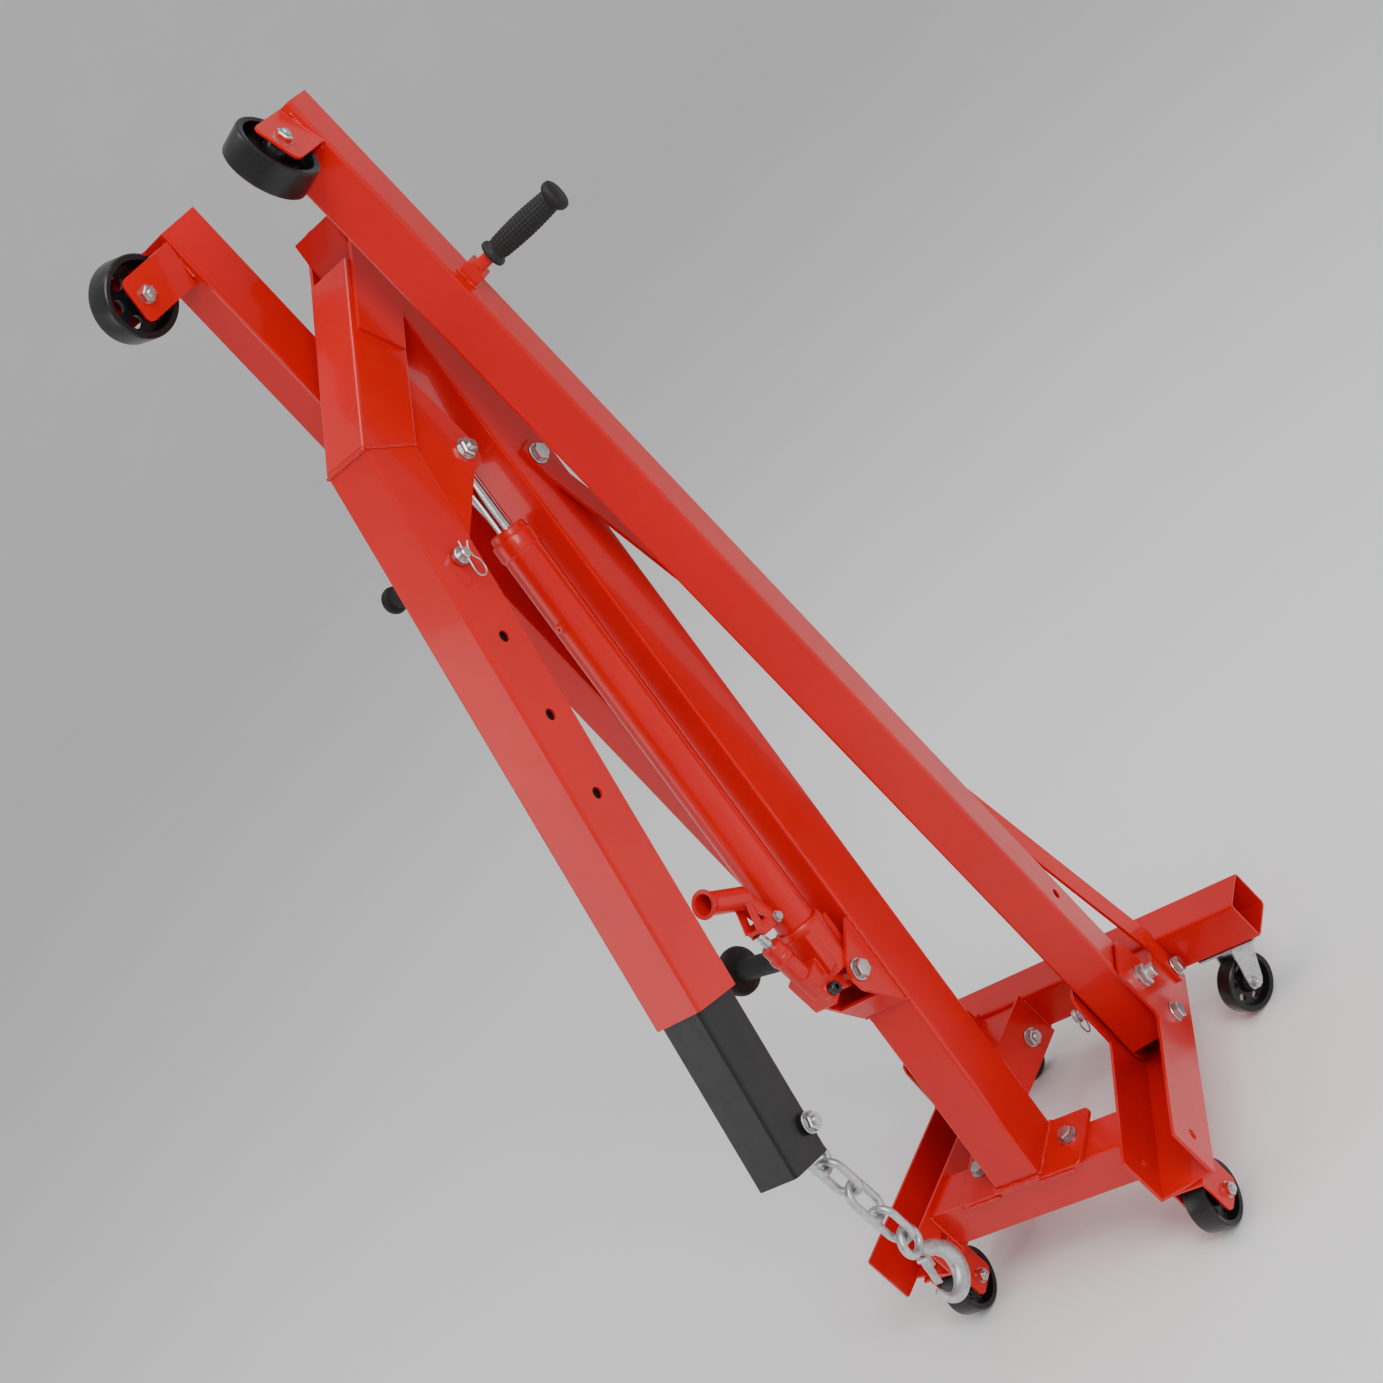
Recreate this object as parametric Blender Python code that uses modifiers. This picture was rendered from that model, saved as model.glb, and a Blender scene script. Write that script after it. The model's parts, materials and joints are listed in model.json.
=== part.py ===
"""Folding workshop engine crane, shown folded: base, legs, mast, boom, ram, chain and hook."""
import math

import bmesh
import bpy
from mathutils import Matrix, Vector

# driving dimensions, metres
GAP = 0.0003
TUBE = 0.060
WALL = 0.003
CORNER = 0.005
SPLAY = math.radians(13.5)
LEAN = math.radians(3.7)
PIVOT_X = 0.132
PIVOT_Z = 0.1225
LEG_LENGTH = 1.451
REAR_Y = 0.1446
FRONT_Y = -0.184
TUBE_Z = 0.124
REAR_HALF = 0.2605
POCKET_HALF = 0.0362
POCKET_WALL = 0.004
POCKET_FLOOR = 0.0865
POCKET_TOP = 0.160
COVER_Z = 0.1465
POCKET_FRONT = 0.248
LEFT_OUTER_EXTRA = 0.026
EAR_TOP = 0.232
LOCK_U = 0.2166
UPRIGHT_U = 0.0645
BOLT_R = 0.006
BRACE_T = -0.091
BRACE_Z = 0.117
MAST_TILT = math.radians(15.09)
MAST_HALF = 0.0332
MAST_DEPTH = 0.0786
MAST_LENGTH = 1.342
MAST_BASE_Y = -0.181
MAST_BASE_Z = 0.1563
BOOM_HALF = 0.0340
BOOM_DEPTH = 0.0740
BOOM_PIVOT = (0.165, 1.4405)
BOOM_BEND = (-0.0807, 1.2602)
BOOM_END = (-0.3577, 0.6520)
BOOM_UPPER_REACH = 0.2150
EXT_HALF = 0.0285
EXT_DEPTH = 0.0665
EXT_WALL = 0.0035
CHAIN_BOLT = (0.0235, 0.036)
EXT_END = (-0.4385, 0.4715)
HOLE_PITCH = 0.095
RAM_FOOT = (-0.176, 0.4905)
RAM_HEAD = (0.018, 1.1885)
RAM_R = 0.024
ROD_R = 0.0105
CASTER_X = 0.208
CASTER_TRAIL = 0.028
CASTER_R = 0.0375
CASTER_TURN = {1: -26.0, -1: 110.0}
FRONT_WHEEL_T = 0.2198
FRONT_WHEEL_R = 0.040
LEG_WHEEL_U = 1.420
LEG_WHEEL_N = 0.094
LEG_WHEEL_R = 0.047
CHAIN_WIRE = 0.0046
CHAIN_WIDTH = 0.029
CHAIN_PITCH = 0.0424
FIRST_LINK = 0.0664
CHAIN_LINKS = 4
PUMP_Y = -0.2115
LEVER_PIVOT = (-0.181, 0.6025)
LEVER_PIN = (-0.2115, 0.6150)
ORIGIN_SHIFT = (0.03069, 0.13180)
RED = (0.62, 0.008, 0.012)
BLACK = (0.012, 0.012, 0.013)
ZINC = (0.60, 0.61, 0.62)


def make_collection(name):
    group = bpy.data.collections.new(name)
    bpy.context.scene.collection.children.link(group)
    return group


def make_material(name, colour, roughness, metallic):
    made = bpy.data.materials.new(name)
    made.use_nodes = True
    shader = made.node_tree.nodes["Principled BSDF"]
    shader.inputs["Base Color"].default_value = (*colour, 1.0)
    shader.inputs["Roughness"].default_value = roughness
    shader.inputs["Metallic"].default_value = metallic
    return made


def spin(axis, angle):
    return Matrix.Rotation(angle, 4, axis)


def shift(x, y, z):
    return Matrix.Translation((x, y, z))


def finish_mesh(name, build, matrix):
    mesh = bpy.data.meshes.new(name)
    build.transform(matrix)
    build.to_mesh(mesh)
    build.free()
    return mesh


def block(size, centre, turn=None):
    """A box as a mesh, optionally turned about its own centre."""
    build = bmesh.new()
    bmesh.ops.create_cube(build, size=1.0)
    scale = Matrix.Diagonal((*size, 1.0))
    return finish_mesh("block", build, shift(*centre) @ (turn or Matrix()) @ scale)


def rod(radius, length, centre, axis="Z", segments=16, top=None):
    """A round bar, or a cone frustum when a second radius is given."""
    build = bmesh.new()
    bmesh.ops.create_cone(build, cap_ends=True, segments=segments, radius1=radius,
                          radius2=radius if top is None else top, depth=length)
    turn = {"Z": Matrix(), "X": spin("Y", math.pi / 2), "Y": spin("X", -math.pi / 2)}[axis]
    return finish_mesh("rod", build, shift(*centre) @ turn)


def fillet(points, radius, steps=3):
    """Rounds the corners of an outline; radius is one number or one per corner."""
    rounded = []
    count = len(points)
    for i, here in enumerate(points):
        size = radius[i] if isinstance(radius, (list, tuple)) else radius
        here = Vector(here)
        to_last = (Vector(points[i - 1]) - here).normalized()
        to_next = (Vector(points[(i + 1) % count]) - here).normalized()
        if size <= 0:
            rounded.append(tuple(here))
            continue
        half = to_last.angle(to_next) / 2
        middle = here + (to_last + to_next).normalized() * size / math.sin(half)
        start = here + to_last * size / math.tan(half) - middle
        end = here + to_next * size / math.tan(half) - middle
        for k in range(steps + 1):
            mixed = start.lerp(end, k / steps).normalized() * size
            rounded.append(tuple(middle + mixed))
    return rounded


def ring(radius, centre=(0.0, 0.0), segments=12):
    return [(centre[0] + radius * math.cos(2 * math.pi * k / segments),
             centre[1] + radius * math.sin(2 * math.pi * k / segments)) for k in range(segments)]


def slab(outline, thickness, holes=(), plane="XY", at=0.0):
    """A flat outline with holes, given a thickness centred on the plane at this offset."""
    curve = bpy.data.curves.new("outline", "CURVE")
    curve.dimensions = "2D"
    curve.fill_mode = "BOTH"
    curve.extrude = thickness / 2
    for loop in (outline, *holes):
        spline = curve.splines.new("POLY")
        spline.points.add(len(loop) - 1)
        for point, (u, v) in zip(spline.points, loop):
            point.co = (u, v, 0.0, 1.0)
        spline.use_cyclic_u = True
    carrier = bpy.data.objects.new("outline", curve)
    bpy.context.scene.collection.objects.link(carrier)
    bpy.context.view_layer.update()
    flat = bpy.data.meshes.new_from_object(carrier)
    bpy.data.objects.remove(carrier)
    build = bmesh.new()
    build.from_mesh(flat)
    bmesh.ops.remove_doubles(build, verts=build.verts, dist=1e-6)
    bmesh.ops.recalc_face_normals(build, faces=build.faces)
    turn = {
        "XY": shift(0, 0, at),
        "XZ": shift(0, at, 0) @ spin("X", math.pi / 2),
        "YZ": shift(at, 0, 0) @ spin("Z", math.pi / 2) @ spin("X", math.pi / 2),
    }[plane]
    return finish_mesh("slab", build, turn)


def rectangle(width, height, centre=(0.0, 0.0)):
    x, y = centre
    return [(x - width / 2, y - height / 2), (x + width / 2, y - height / 2),
            (x + width / 2, y + height / 2), (x - width / 2, y + height / 2)]


def square_tube(width, height, wall, start, end, along="Y"):
    """A hollow rectangular tube with rounded corners, from start to end along an axis."""
    outer = fillet(rectangle(width, height), CORNER, 2)
    inner = fillet(rectangle(width - 2 * wall, height - 2 * wall), CORNER - wall, 1)
    plane = {"Y": "XZ", "X": "YZ", "Z": "XY"}[along]
    return slab(outer, end - start, [inner], plane, (start + end) / 2)


def moved(mesh, matrix):
    mesh.transform(matrix)
    return mesh


def lathe(profile, axis="X", segments=28):
    """A solid of revolution about an axis: profile is (radius, position) down its outer side."""
    mesh = bpy.data.meshes.new("profile")
    points = [(radius, 0.0, place) for radius, place in profile]
    mesh.from_pydata(points, [(i, i + 1) for i in range(len(points) - 1)], [])
    carrier = bpy.data.objects.new("lathe", mesh)
    bpy.context.scene.collection.objects.link(carrier)
    screw = carrier.modifiers.new("Screw", "SCREW")
    screw.steps = segments
    screw.render_steps = segments
    screw.use_merge_vertices = True
    screw.merge_threshold = 1e-5
    bpy.context.view_layer.update()
    evaluated = carrier.evaluated_get(bpy.context.evaluated_depsgraph_get())
    made = bpy.data.meshes.new_from_object(evaluated)
    bpy.data.objects.remove(carrier)
    build = bmesh.new()
    build.from_mesh(made)
    bmesh.ops.remove_doubles(build, verts=build.verts, dist=1e-6)
    bmesh.ops.recalc_face_normals(build, faces=build.faces)
    turn = {"Z": Matrix(), "X": spin("Y", math.pi / 2), "Y": spin("X", -math.pi / 2)}[axis]
    return finish_mesh("lathe", build, turn)


def wire(points, radius, closed=False, segments=2, scales=None):
    """A round wire along a list of points, capped when open; scales thicken it point by point."""
    curve = bpy.data.curves.new("wire", "CURVE")
    curve.dimensions = "3D"
    curve.bevel_depth = radius
    curve.bevel_resolution = segments
    curve.use_fill_caps = not closed
    spline = curve.splines.new("POLY")
    spline.points.add(len(points) - 1)
    for index, place in enumerate(points):
        spline.points[index].co = (*place, 1.0)
        spline.points[index].radius = scales[index] if scales else 1.0
    spline.use_cyclic_u = closed
    carrier = bpy.data.objects.new("wire", curve)
    bpy.context.scene.collection.objects.link(carrier)
    bpy.context.view_layer.update()
    made = bpy.data.meshes.new_from_object(carrier)
    bpy.data.objects.remove(carrier)
    build = bmesh.new()
    build.from_mesh(made)
    bmesh.ops.remove_doubles(build, verts=build.verts, dist=1e-6)
    bmesh.ops.recalc_face_normals(build, faces=build.faces)
    return finish_mesh("wire", build, Matrix())


def solid(name, base, steps, material, place=None):
    """One named object from a base mesh and a list of ('+' or '-', mesh) Boolean steps."""
    place = place or Matrix()
    base.name = name
    made = bpy.data.objects.new(name, base)
    made.matrix_world = place
    base.materials.append(material)
    PARTS.objects.link(made)
    for index, (sign, mesh) in enumerate(steps):
        label = name + ("_add" if sign == "+" else "_cut") + str(index)
        mesh.name = label
        tool = bpy.data.objects.new(label, mesh)
        tool.matrix_world = place
        tool.hide_render = True
        tool.display_type = "WIRE"
        CUTTERS.objects.link(tool)
        step = made.modifiers.new(label, "BOOLEAN")
        step.operation = "UNION" if sign == "+" else "DIFFERENCE"
        step.solver = "EXACT"
        step.object = tool
    return made


def pocket_frame(side):
    """Across the pocket, backward along it, and up; the origin is on the leg's fold axis."""
    return shift(side * PIVOT_X, 0.0, PIVOT_Z) @ spin("Z", side * SPLAY)


def leg_frame(side):
    """The same axes carried round to the folded leg."""
    return pocket_frame(side) @ spin("X", -(math.pi / 2 + LEAN))


def build_cross_tubes():
    rear = square_tube(TUBE, TUBE, WALL, -REAR_HALF, REAR_HALF, "X")
    solid("rear_cross_tube", rear, [], RED_PAINT, shift(0, REAR_Y, TUBE_Z))
    front = square_tube(TUBE, TUBE, WALL, -0.17, 0.17, "X")
    place = shift(0, FRONT_Y, TUBE_Z)
    cuts = []
    for side in (1, -1):
        reach = 0.2
        cut = block((reach, 0.4, 0.2), (side * (reach / 2 - POCKET_HALF - GAP), -0.2, 0))
        cuts.append(("-", moved(cut, place.inverted() @ pocket_frame(side))))
    solid("front_cross_tube", front, cuts, RED_PAINT, place)


def flange_outline(front):
    low = POCKET_FLOOR - PIVOT_Z
    top = POCKET_TOP - PIVOT_Z
    ear = EAR_TOP - PIVOT_Z
    corners = [(0.18, low), (0.18, top), (0.038, top), (0.034, ear), (-0.034, ear),
               (-0.040, top), (-front, top), (-front, low)]
    return fillet(corners, [0, 0, 0.004, 0.012, 0.012, 0.004, 0.003, 0.002], 2)


def build_pocket(side, tag):
    frame = pocket_frame(side)
    holes = [ring(BOLT_R + GAP), ring(0.0065, (0.004, UPRIGHT_U)),
             ring(0.0065, (-LOCK_U, 0.0)), ring(BOLT_R + GAP, (-BRACE_T, BRACE_Z - PIVOT_Z))]
    offset = POCKET_HALF - POCKET_WALL / 2
    low = POCKET_FLOOR - PIVOT_Z
    floor_length = POCKET_FRONT + 0.18 - 0.002
    web = block((2 * POCKET_HALF - 0.002, floor_length, POCKET_WALL),
                (0, (0.18 - POCKET_FRONT) / 2, low + POCKET_WALL / 2 + 0.0002))
    steps = []
    for wall in (1, -1):
        longer = LEFT_OUTER_EXTRA if side < 0 and wall < 0 else 0.0
        outline = flange_outline(POCKET_FRONT + longer)
        steps.append(("+", slab(outline, POCKET_WALL, holes, "YZ", wall * offset)))
    cover = block((2 * POCKET_HALF - 0.004, 0.135, 0.004), (0, 0.112, COVER_Z - PIVOT_Z))
    steps.append(("+", cover))
    rear_face = REAR_Y - TUBE / 2 - GAP
    cut = block((0.6, 0.3, 0.4), (0, rear_face + 0.15, PIVOT_Z))
    steps.append(("-", moved(cut, frame.inverted())))
    solid("leg_pocket_" + tag, web, steps, RED_PAINT, frame)


def bolt_mesh(radius, length, head, head_height):
    """A hexagon bolt along X, centred, with a head and a nut; head is across corners / 2."""
    return [("+", rod(head, head_height, (s * (length / 2 - head_height / 2), 0, 0), "X", 6))
            for s in (1, -1)], rod(radius, length, (0, 0, 0), "X", 12)


def build_bolt(name, place, half_span, radius=BOLT_R, head=0.011, height=0.008):
    """half_span is the distance from the centre to the outer face each head bears on."""
    length = 2 * (half_span + height + GAP)
    steps, shank = bolt_mesh(radius, length, head, height)
    solid(name, shank, steps, ZINC_PLATE, place)


def build_leg(side, tag):
    frame = leg_frame(side)
    tube = square_tube(TUBE, TUBE, WALL, -LEG_LENGTH, 0.0, "Y")
    steps = []
    cheek = [(-0.035, -0.028), (0, -0.028)]
    cheek += [(0.028 * math.sin(a), -0.028 * math.cos(a))
              for a in (math.pi * k / 8 for k in range(1, 8))]
    cheek += [(0, 0.028), (-0.035, 0.028)]
    for s in (1, -1):
        steps.append(("+", slab(cheek, 0.0028, (), "YZ", s * 0.0282)))
    reach = TUBE + 0.02
    steps.append(("-", rod(BOLT_R + GAP, reach, (0, 0, 0), "X", 12)))
    steps.append(("-", rod(0.0065, reach, (0, -UPRIGHT_U, 0), "X", 12)))
    steps.append(("-", rod(0.0065, reach, (0, -LOCK_U, 0), "X", 12)))
    solid("leg_" + tag, tube, steps, RED_PAINT, frame)


def build_wheel(name, place, radius, width, bore):
    """A one-piece wheel turned about X: rounded tread, dished web and hub with a bore."""
    hub = bore + 0.005
    web = 0.003
    rim = radius - 0.009
    half = width / 2
    edge = 0.002
    profile = [(bore, -half), (hub, -half), (hub, -web), (rim, -web), (rim, -half),
               (radius - edge, -half), (radius, edge - half), (radius, half - edge),
               (radius - edge, half), (rim, half), (rim, web), (hub, web), (hub, half),
               (bore, half), (bore, -half)]
    solid(name, lathe(profile, "X", 20), [], WHEEL_BLACK, place)


def fork_steps(gap_half, wall, top, spread, tip, axle, height_drop, nut):
    """Side plates, axle and nuts of a wheel fork whose axle is at the origin along X."""
    outline = fillet([(-spread, top), (-spread, -tip), (spread, -tip), (spread, top)],
                     [0, height_drop, height_drop, 0], 5)
    steps = [("+", slab(outline, wall, (), "YZ", s * (gap_half + wall / 2))) for s in (1, -1)]
    outer = gap_half + wall
    steps.append(("+", rod(axle, 2 * outer + 0.006, (0, 0, 0), "X", 12)))
    for s in (1, -1):
        steps.append(("+", rod(nut, 0.006, (s * (outer + 0.0028), 0, 0), "X", 6)))
    return steps


def build_leg_wheel(side, tag):
    leg = leg_frame(side)
    frame = leg @ shift(0, -LEG_WHEEL_U, -LEG_WHEEL_N) @ spin("Z", -side * SPLAY)
    top = LEG_WHEEL_N - TUBE / 2 - GAP
    plate = block((0.048, 0.053, 0.0032), (0, 0.002, top - 0.0016))
    steps = fork_steps(0.0206, 0.003, top - 0.0004, 0.027, 0.018, 0.0050, 0.009, 0.0095)
    solid("leg_fork_" + tag, plate, steps, RED_PAINT, frame)
    build_wheel("leg_wheel_" + tag, frame, LEG_WHEEL_R, 0.034, 0.0054)


def build_front_wheel(side, tag):
    pocket = pocket_frame(side)
    drop = FRONT_WHEEL_R - PIVOT_Z
    frame = pocket @ shift(0, -FRONT_WHEEL_T, drop) @ spin("Z", -side * SPLAY)
    top = POCKET_FLOOR - GAP - FRONT_WHEEL_R
    plate = block((0.050, 0.056, 0.0036), (0, 0, top - 0.0018))
    steps = fork_steps(0.0186, 0.003, top - 0.0004, 0.023, 0.014, 0.0045, 0.010, 0.0085)
    solid("front_fork_" + tag, plate, steps, RED_PAINT, frame)
    build_wheel("front_wheel_" + tag, frame, FRONT_WHEEL_R, 0.030, 0.0049)


def build_caster(side, tag, turn):
    top = TUBE_Z - TUBE / 2 - GAP
    place = shift(side * CASTER_X, REAR_Y, 0)
    plate = slab(fillet(rectangle(0.086, 0.058), 0.006), 0.003, (), "XY", top - 0.0015)
    pin = rod(0.006, top - 0.077, (0, 0, (top + 0.077) / 2 - 0.001))
    head = rod(0.010, 0.003, (0, 0, 0.0765))
    solid("caster_plate_" + tag, plate, [("+", pin), ("+", head)], GALVANISED, place)
    crown_top = top - 0.003 - 0.0008
    crown = slab(ring(0.023, (0, 0), 20), 0.0035, [ring(0.0065, (0, 0), 12)], "XY",
                 crown_top - 0.00175)
    arm = [(0.020, crown_top - 0.0006), (-0.022, crown_top - 0.0006), (-0.041, CASTER_R - 0.008),
           (-0.018, CASTER_R - 0.010)]
    arm = fillet(arm, [0.002, 0.002, 0.009, 0.009], 2)
    steps = []
    for s in (1, -1):
        steps.append(("+", slab(arm, 0.003, (), "YZ", s * 0.0158)))
        steps.append(("+", rod(0.0075, 0.005, (s * 0.0188, -CASTER_TRAIL, CASTER_R), "X", 6)))
    steps.append(("+", rod(0.004, 0.036, (0, -CASTER_TRAIL, CASTER_R), "X", 12)))
    swivel = place @ spin("Z", math.radians(turn))
    solid("caster_fork_" + tag, crown, steps, GALVANISED, swivel)
    wheel_place = swivel @ shift(0, -CASTER_TRAIL, CASTER_R)
    build_wheel("caster_wheel_" + tag, wheel_place, CASTER_R, 0.024, 0.0044)


def build_lock_pin(side, tag):
    """Spring plunger that holds the folded leg: body and pull ring on the inner ear."""
    inner = -side
    frame = pocket_frame(side) @ shift(0, 0.004, UPRIGHT_U)
    wall_out = POCKET_HALF + GAP
    collar = rod(0.010, 0.012, (inner * (wall_out + 0.006), 0, 0), "X", 6)
    shank = rod(0.0058, 0.030, (inner * (wall_out + 0.009), 0, 0), "X", 12)
    knob = rod(0.0085, 0.006, (inner * (wall_out + 0.024), 0, 0), "X", 12)
    turns = 14
    loop = [(inner * (wall_out + 0.024), 0.012 * math.sin(2 * math.pi * k / turns),
             -0.0125 + 0.012 * math.cos(2 * math.pi * k / turns)) for k in range(turns)]
    steps = [("+", shank), ("+", knob), ("+", wire(loop, 0.0013, True, 0))]
    solid("lock_pin_" + tag, collar, steps, ZINC_PLATE, frame)


def grip_profile():
    return [(0.0, 0.0), (0.0145, 0.0), (0.0150, 0.003), (0.0145, 0.006), (0.0120, 0.008),
            (0.0130, 0.030), (0.0136, 0.050), (0.0128, 0.075), (0.0120, 0.088), (0.0168, 0.092),
            (0.0175, 0.097), (0.0160, 0.101), (0.0, 0.102)]


def build_handle(side, tag, along, forward):
    """Side handle welded to the leg's outer wall, with a rubber grip on its bar."""
    frame = leg_frame(side) @ shift(side * (TUBE / 2 + GAP), -along, -forward)
    frame = frame @ spin("Z", 0 if side > 0 else math.pi)
    boss = slab(fillet(rectangle(0.025, 0.025), 0.002, 2), 0.016, (), "YZ", 0.008)
    bar = rod(0.0075, 0.018 + 0.060, (0.014 + 0.039, 0, 0), "X", 24)
    solid("side_handle_" + tag, boss, [("+", bar)], RED_PAINT, frame)
    profile = [(radius, place + 0.034) for radius, place in grip_profile()]
    body = lathe(profile, "X", 16)
    hole = rod(0.0075 + GAP, 0.070, (0.0625 - 0.005, 0, 0), "X", 24)
    solid("side_grip_" + tag, body, [("-", hole)], RUBBER, frame)


def build_buffer():
    """Rubber buffer on the left leg: a round stem with a broad end disc."""
    frame = leg_frame(-1) @ shift(-(TUBE / 2 + GAP), -0.2935, -0.006) @ spin("Z", math.pi)
    profile = [(0.0, 0.0), (0.0155, 0.0), (0.0155, 0.158), (0.031, 0.160), (0.0335, 0.166),
               (0.031, 0.175), (0.023, 0.181), (0.0, 0.183)]
    solid("side_buffer", lathe(profile, "X", 24), [], RUBBER, frame)


def mast_frame():
    return shift(0, MAST_BASE_Y, MAST_BASE_Z) @ spin("X", -MAST_TILT)


def build_mast():
    frame = mast_frame()
    tube = square_tube(2 * MAST_HALF, MAST_DEPTH, WALL, -0.05, MAST_LENGTH, "Z")
    foot_top = TUBE_Z + TUBE / 2 + GAP + 0.006 + GAP
    cut = moved(block((0.3, 0.5, 0.2), (0, MAST_BASE_Y, foot_top - 0.1)), frame.inverted())
    lid = block((2 * MAST_HALF - 0.003, MAST_DEPTH - 0.003, 0.003), (0, 0, MAST_LENGTH - 0.0017))
    pivot = frame.inverted() @ Vector((0, *BOOM_PIVOT))
    bolt = frame.inverted() @ Vector((0, 0.081, 1.1205))
    steps = [("+", lid), ("-", cut),
             ("-", rod(0.0083, 0.2, (0, pivot.y, pivot.z), "X", 24)),
             ("-", rod(BOLT_R + GAP, 0.2, (0, bolt.y, bolt.z), "X", 12))]
    solid("mast", tube, steps, RED_PAINT, frame)
    z = TUBE_Z + TUBE / 2 + GAP + 0.003
    outline = fillet(rectangle(0.182, 0.086), 0.008)
    holes = [ring(0.0054, (s * 0.066, 0.006)) for s in (1, -1)]
    foot = slab(outline, 0.006, holes, "XY", 0)
    solid("mast_foot", foot, [], RED_PAINT, shift(0, -0.181, z))
    for side, tag in ((1, "r"), (-1, "l")):
        top = z + 0.003
        head = rod(0.011, 0.008, (0, 0, 0.0043), "Z", 6)
        washer = rod(0.013, 0.0015, (0, 0, 0.00105), "Z", 16)
        shank = rod(0.005, 0.006, (0, 0, -0.0015), "Z", 14)
        place = shift(side * 0.066, -0.175, top)
        solid("foot_bolt_" + tag, head, [("+", washer), ("+", shank)], ZINC_PLATE, place)


def build_brace(side, tag):
    pocket = pocket_frame(side)
    foot_x = side * (POCKET_HALF + GAP + 0.0025)
    foot = slab(fillet(rectangle(0.030, 0.074, (-BRACE_T, 0.017)), 0.004), 0.005,
                [ring(BOLT_R + GAP, (-BRACE_T, BRACE_Z - PIVOT_Z))], "YZ", foot_x)
    foot.transform(pocket)
    head = slab(fillet(rectangle(0.028, 0.060, (0.081, 1.1205 - 0.012)), 0.004), 0.005,
                [ring(BOLT_R + GAP, (0.081, 1.1205))], "YZ", side * (MAST_HALF + GAP + 0.0025))
    low = pocket @ Vector((foot_x, -BRACE_T, 0.170 - PIVOT_Z))
    high = Vector((side * (MAST_HALF + GAP + 0.0030), 0.081, 1.092))
    run = high - low
    lengthwise = run.normalized()
    across = (Vector((0, 1, 0)) - lengthwise * lengthwise.y).normalized()
    turn = Matrix((across.cross(lengthwise), across, lengthwise)).transposed().to_4x4()
    bar = block((0.0044, 0.026, run.length + 0.012), (high + low) / 2, turn)
    solid("brace_" + tag, bar, [("+", foot), ("+", head)], RED_PAINT)
    place = pocket @ shift(side * (0.0025 + GAP), -BRACE_T, BRACE_Z - PIVOT_Z)
    build_bolt("brace_bolt_" + tag, place, POCKET_HALF + 0.0025 + GAP)


def boom_axes():
    """Unit directions of the two boom runs and their outward (front) normals."""
    bend = Vector(BOOM_BEND)
    lower = (Vector(BOOM_END) - bend).normalized()
    upper = Vector((0.838, 0.545)).normalized()
    return upper, lower


def tilt_of(direction):
    """Angle about X that carries +Z onto a (y, z) direction."""
    return -math.atan2(direction.x, direction.y)


def build_boom_runs():
    """The two straight runs of the boom, each cut to the joint plane, about the boom pivot."""
    upper, lower = boom_axes()
    pivot = Vector(BOOM_PIVOT)
    bend = Vector(BOOM_BEND) - pivot
    length = (Vector(BOOM_END) - Vector(BOOM_BEND)).length
    at_bend = shift(0, bend.x, bend.y)
    main = square_tube(2 * BOOM_HALF, BOOM_DEPTH, WALL, -length, 0.08, "Z")
    main = moved(main, at_bend @ spin("X", tilt_of(-lower)))
    top = square_tube(2 * BOOM_HALF, BOOM_DEPTH, WALL, -0.08, BOOM_UPPER_REACH + 0.02, "Z")
    top = moved(top, at_bend @ spin("X", tilt_of(upper)))
    mitre = at_bend @ spin("X", tilt_of((upper - lower).normalized()))
    overlap = 0.0005
    main = boolean_now(main, "-", moved(block((0.3, 0.6, 0.6), (0, 0, 0.3)), mitre))
    top = boolean_now(top, "-", moved(block((0.3, 0.6, 0.6), (0, 0, -0.3 - overlap)), mitre))
    # the upper run stops just in front of the mast
    face = -(MAST_DEPTH / 2 + 0.0045)
    to_mast = shift(0, *BOOM_PIVOT).inverted() @ mast_frame()
    stop = moved(block((0.3, 0.3, 3.0), (0, face + 0.15, 0.5)), to_mast)
    return main, boolean_now(top, "-", stop)


def boolean_now(base, sign, other):
    """Applies one Boolean at once and returns the new mesh."""
    made = bpy.data.objects.new("work", base)
    tool = bpy.data.objects.new("tool", other)
    for item in (made, tool):
        bpy.context.scene.collection.objects.link(item)
    step = made.modifiers.new("step", "BOOLEAN")
    step.operation = "UNION" if sign == "+" else "DIFFERENCE"
    step.solver = "EXACT"
    step.object = tool
    bpy.context.view_layer.update()
    evaluated = made.evaluated_get(bpy.context.evaluated_depsgraph_get())
    result = bpy.data.meshes.new_from_object(evaluated)
    bpy.data.objects.remove(made)
    bpy.data.objects.remove(tool)
    return result


def relative(points, origin):
    return [(y - origin[0], z - origin[1]) for y, z in points]


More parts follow.
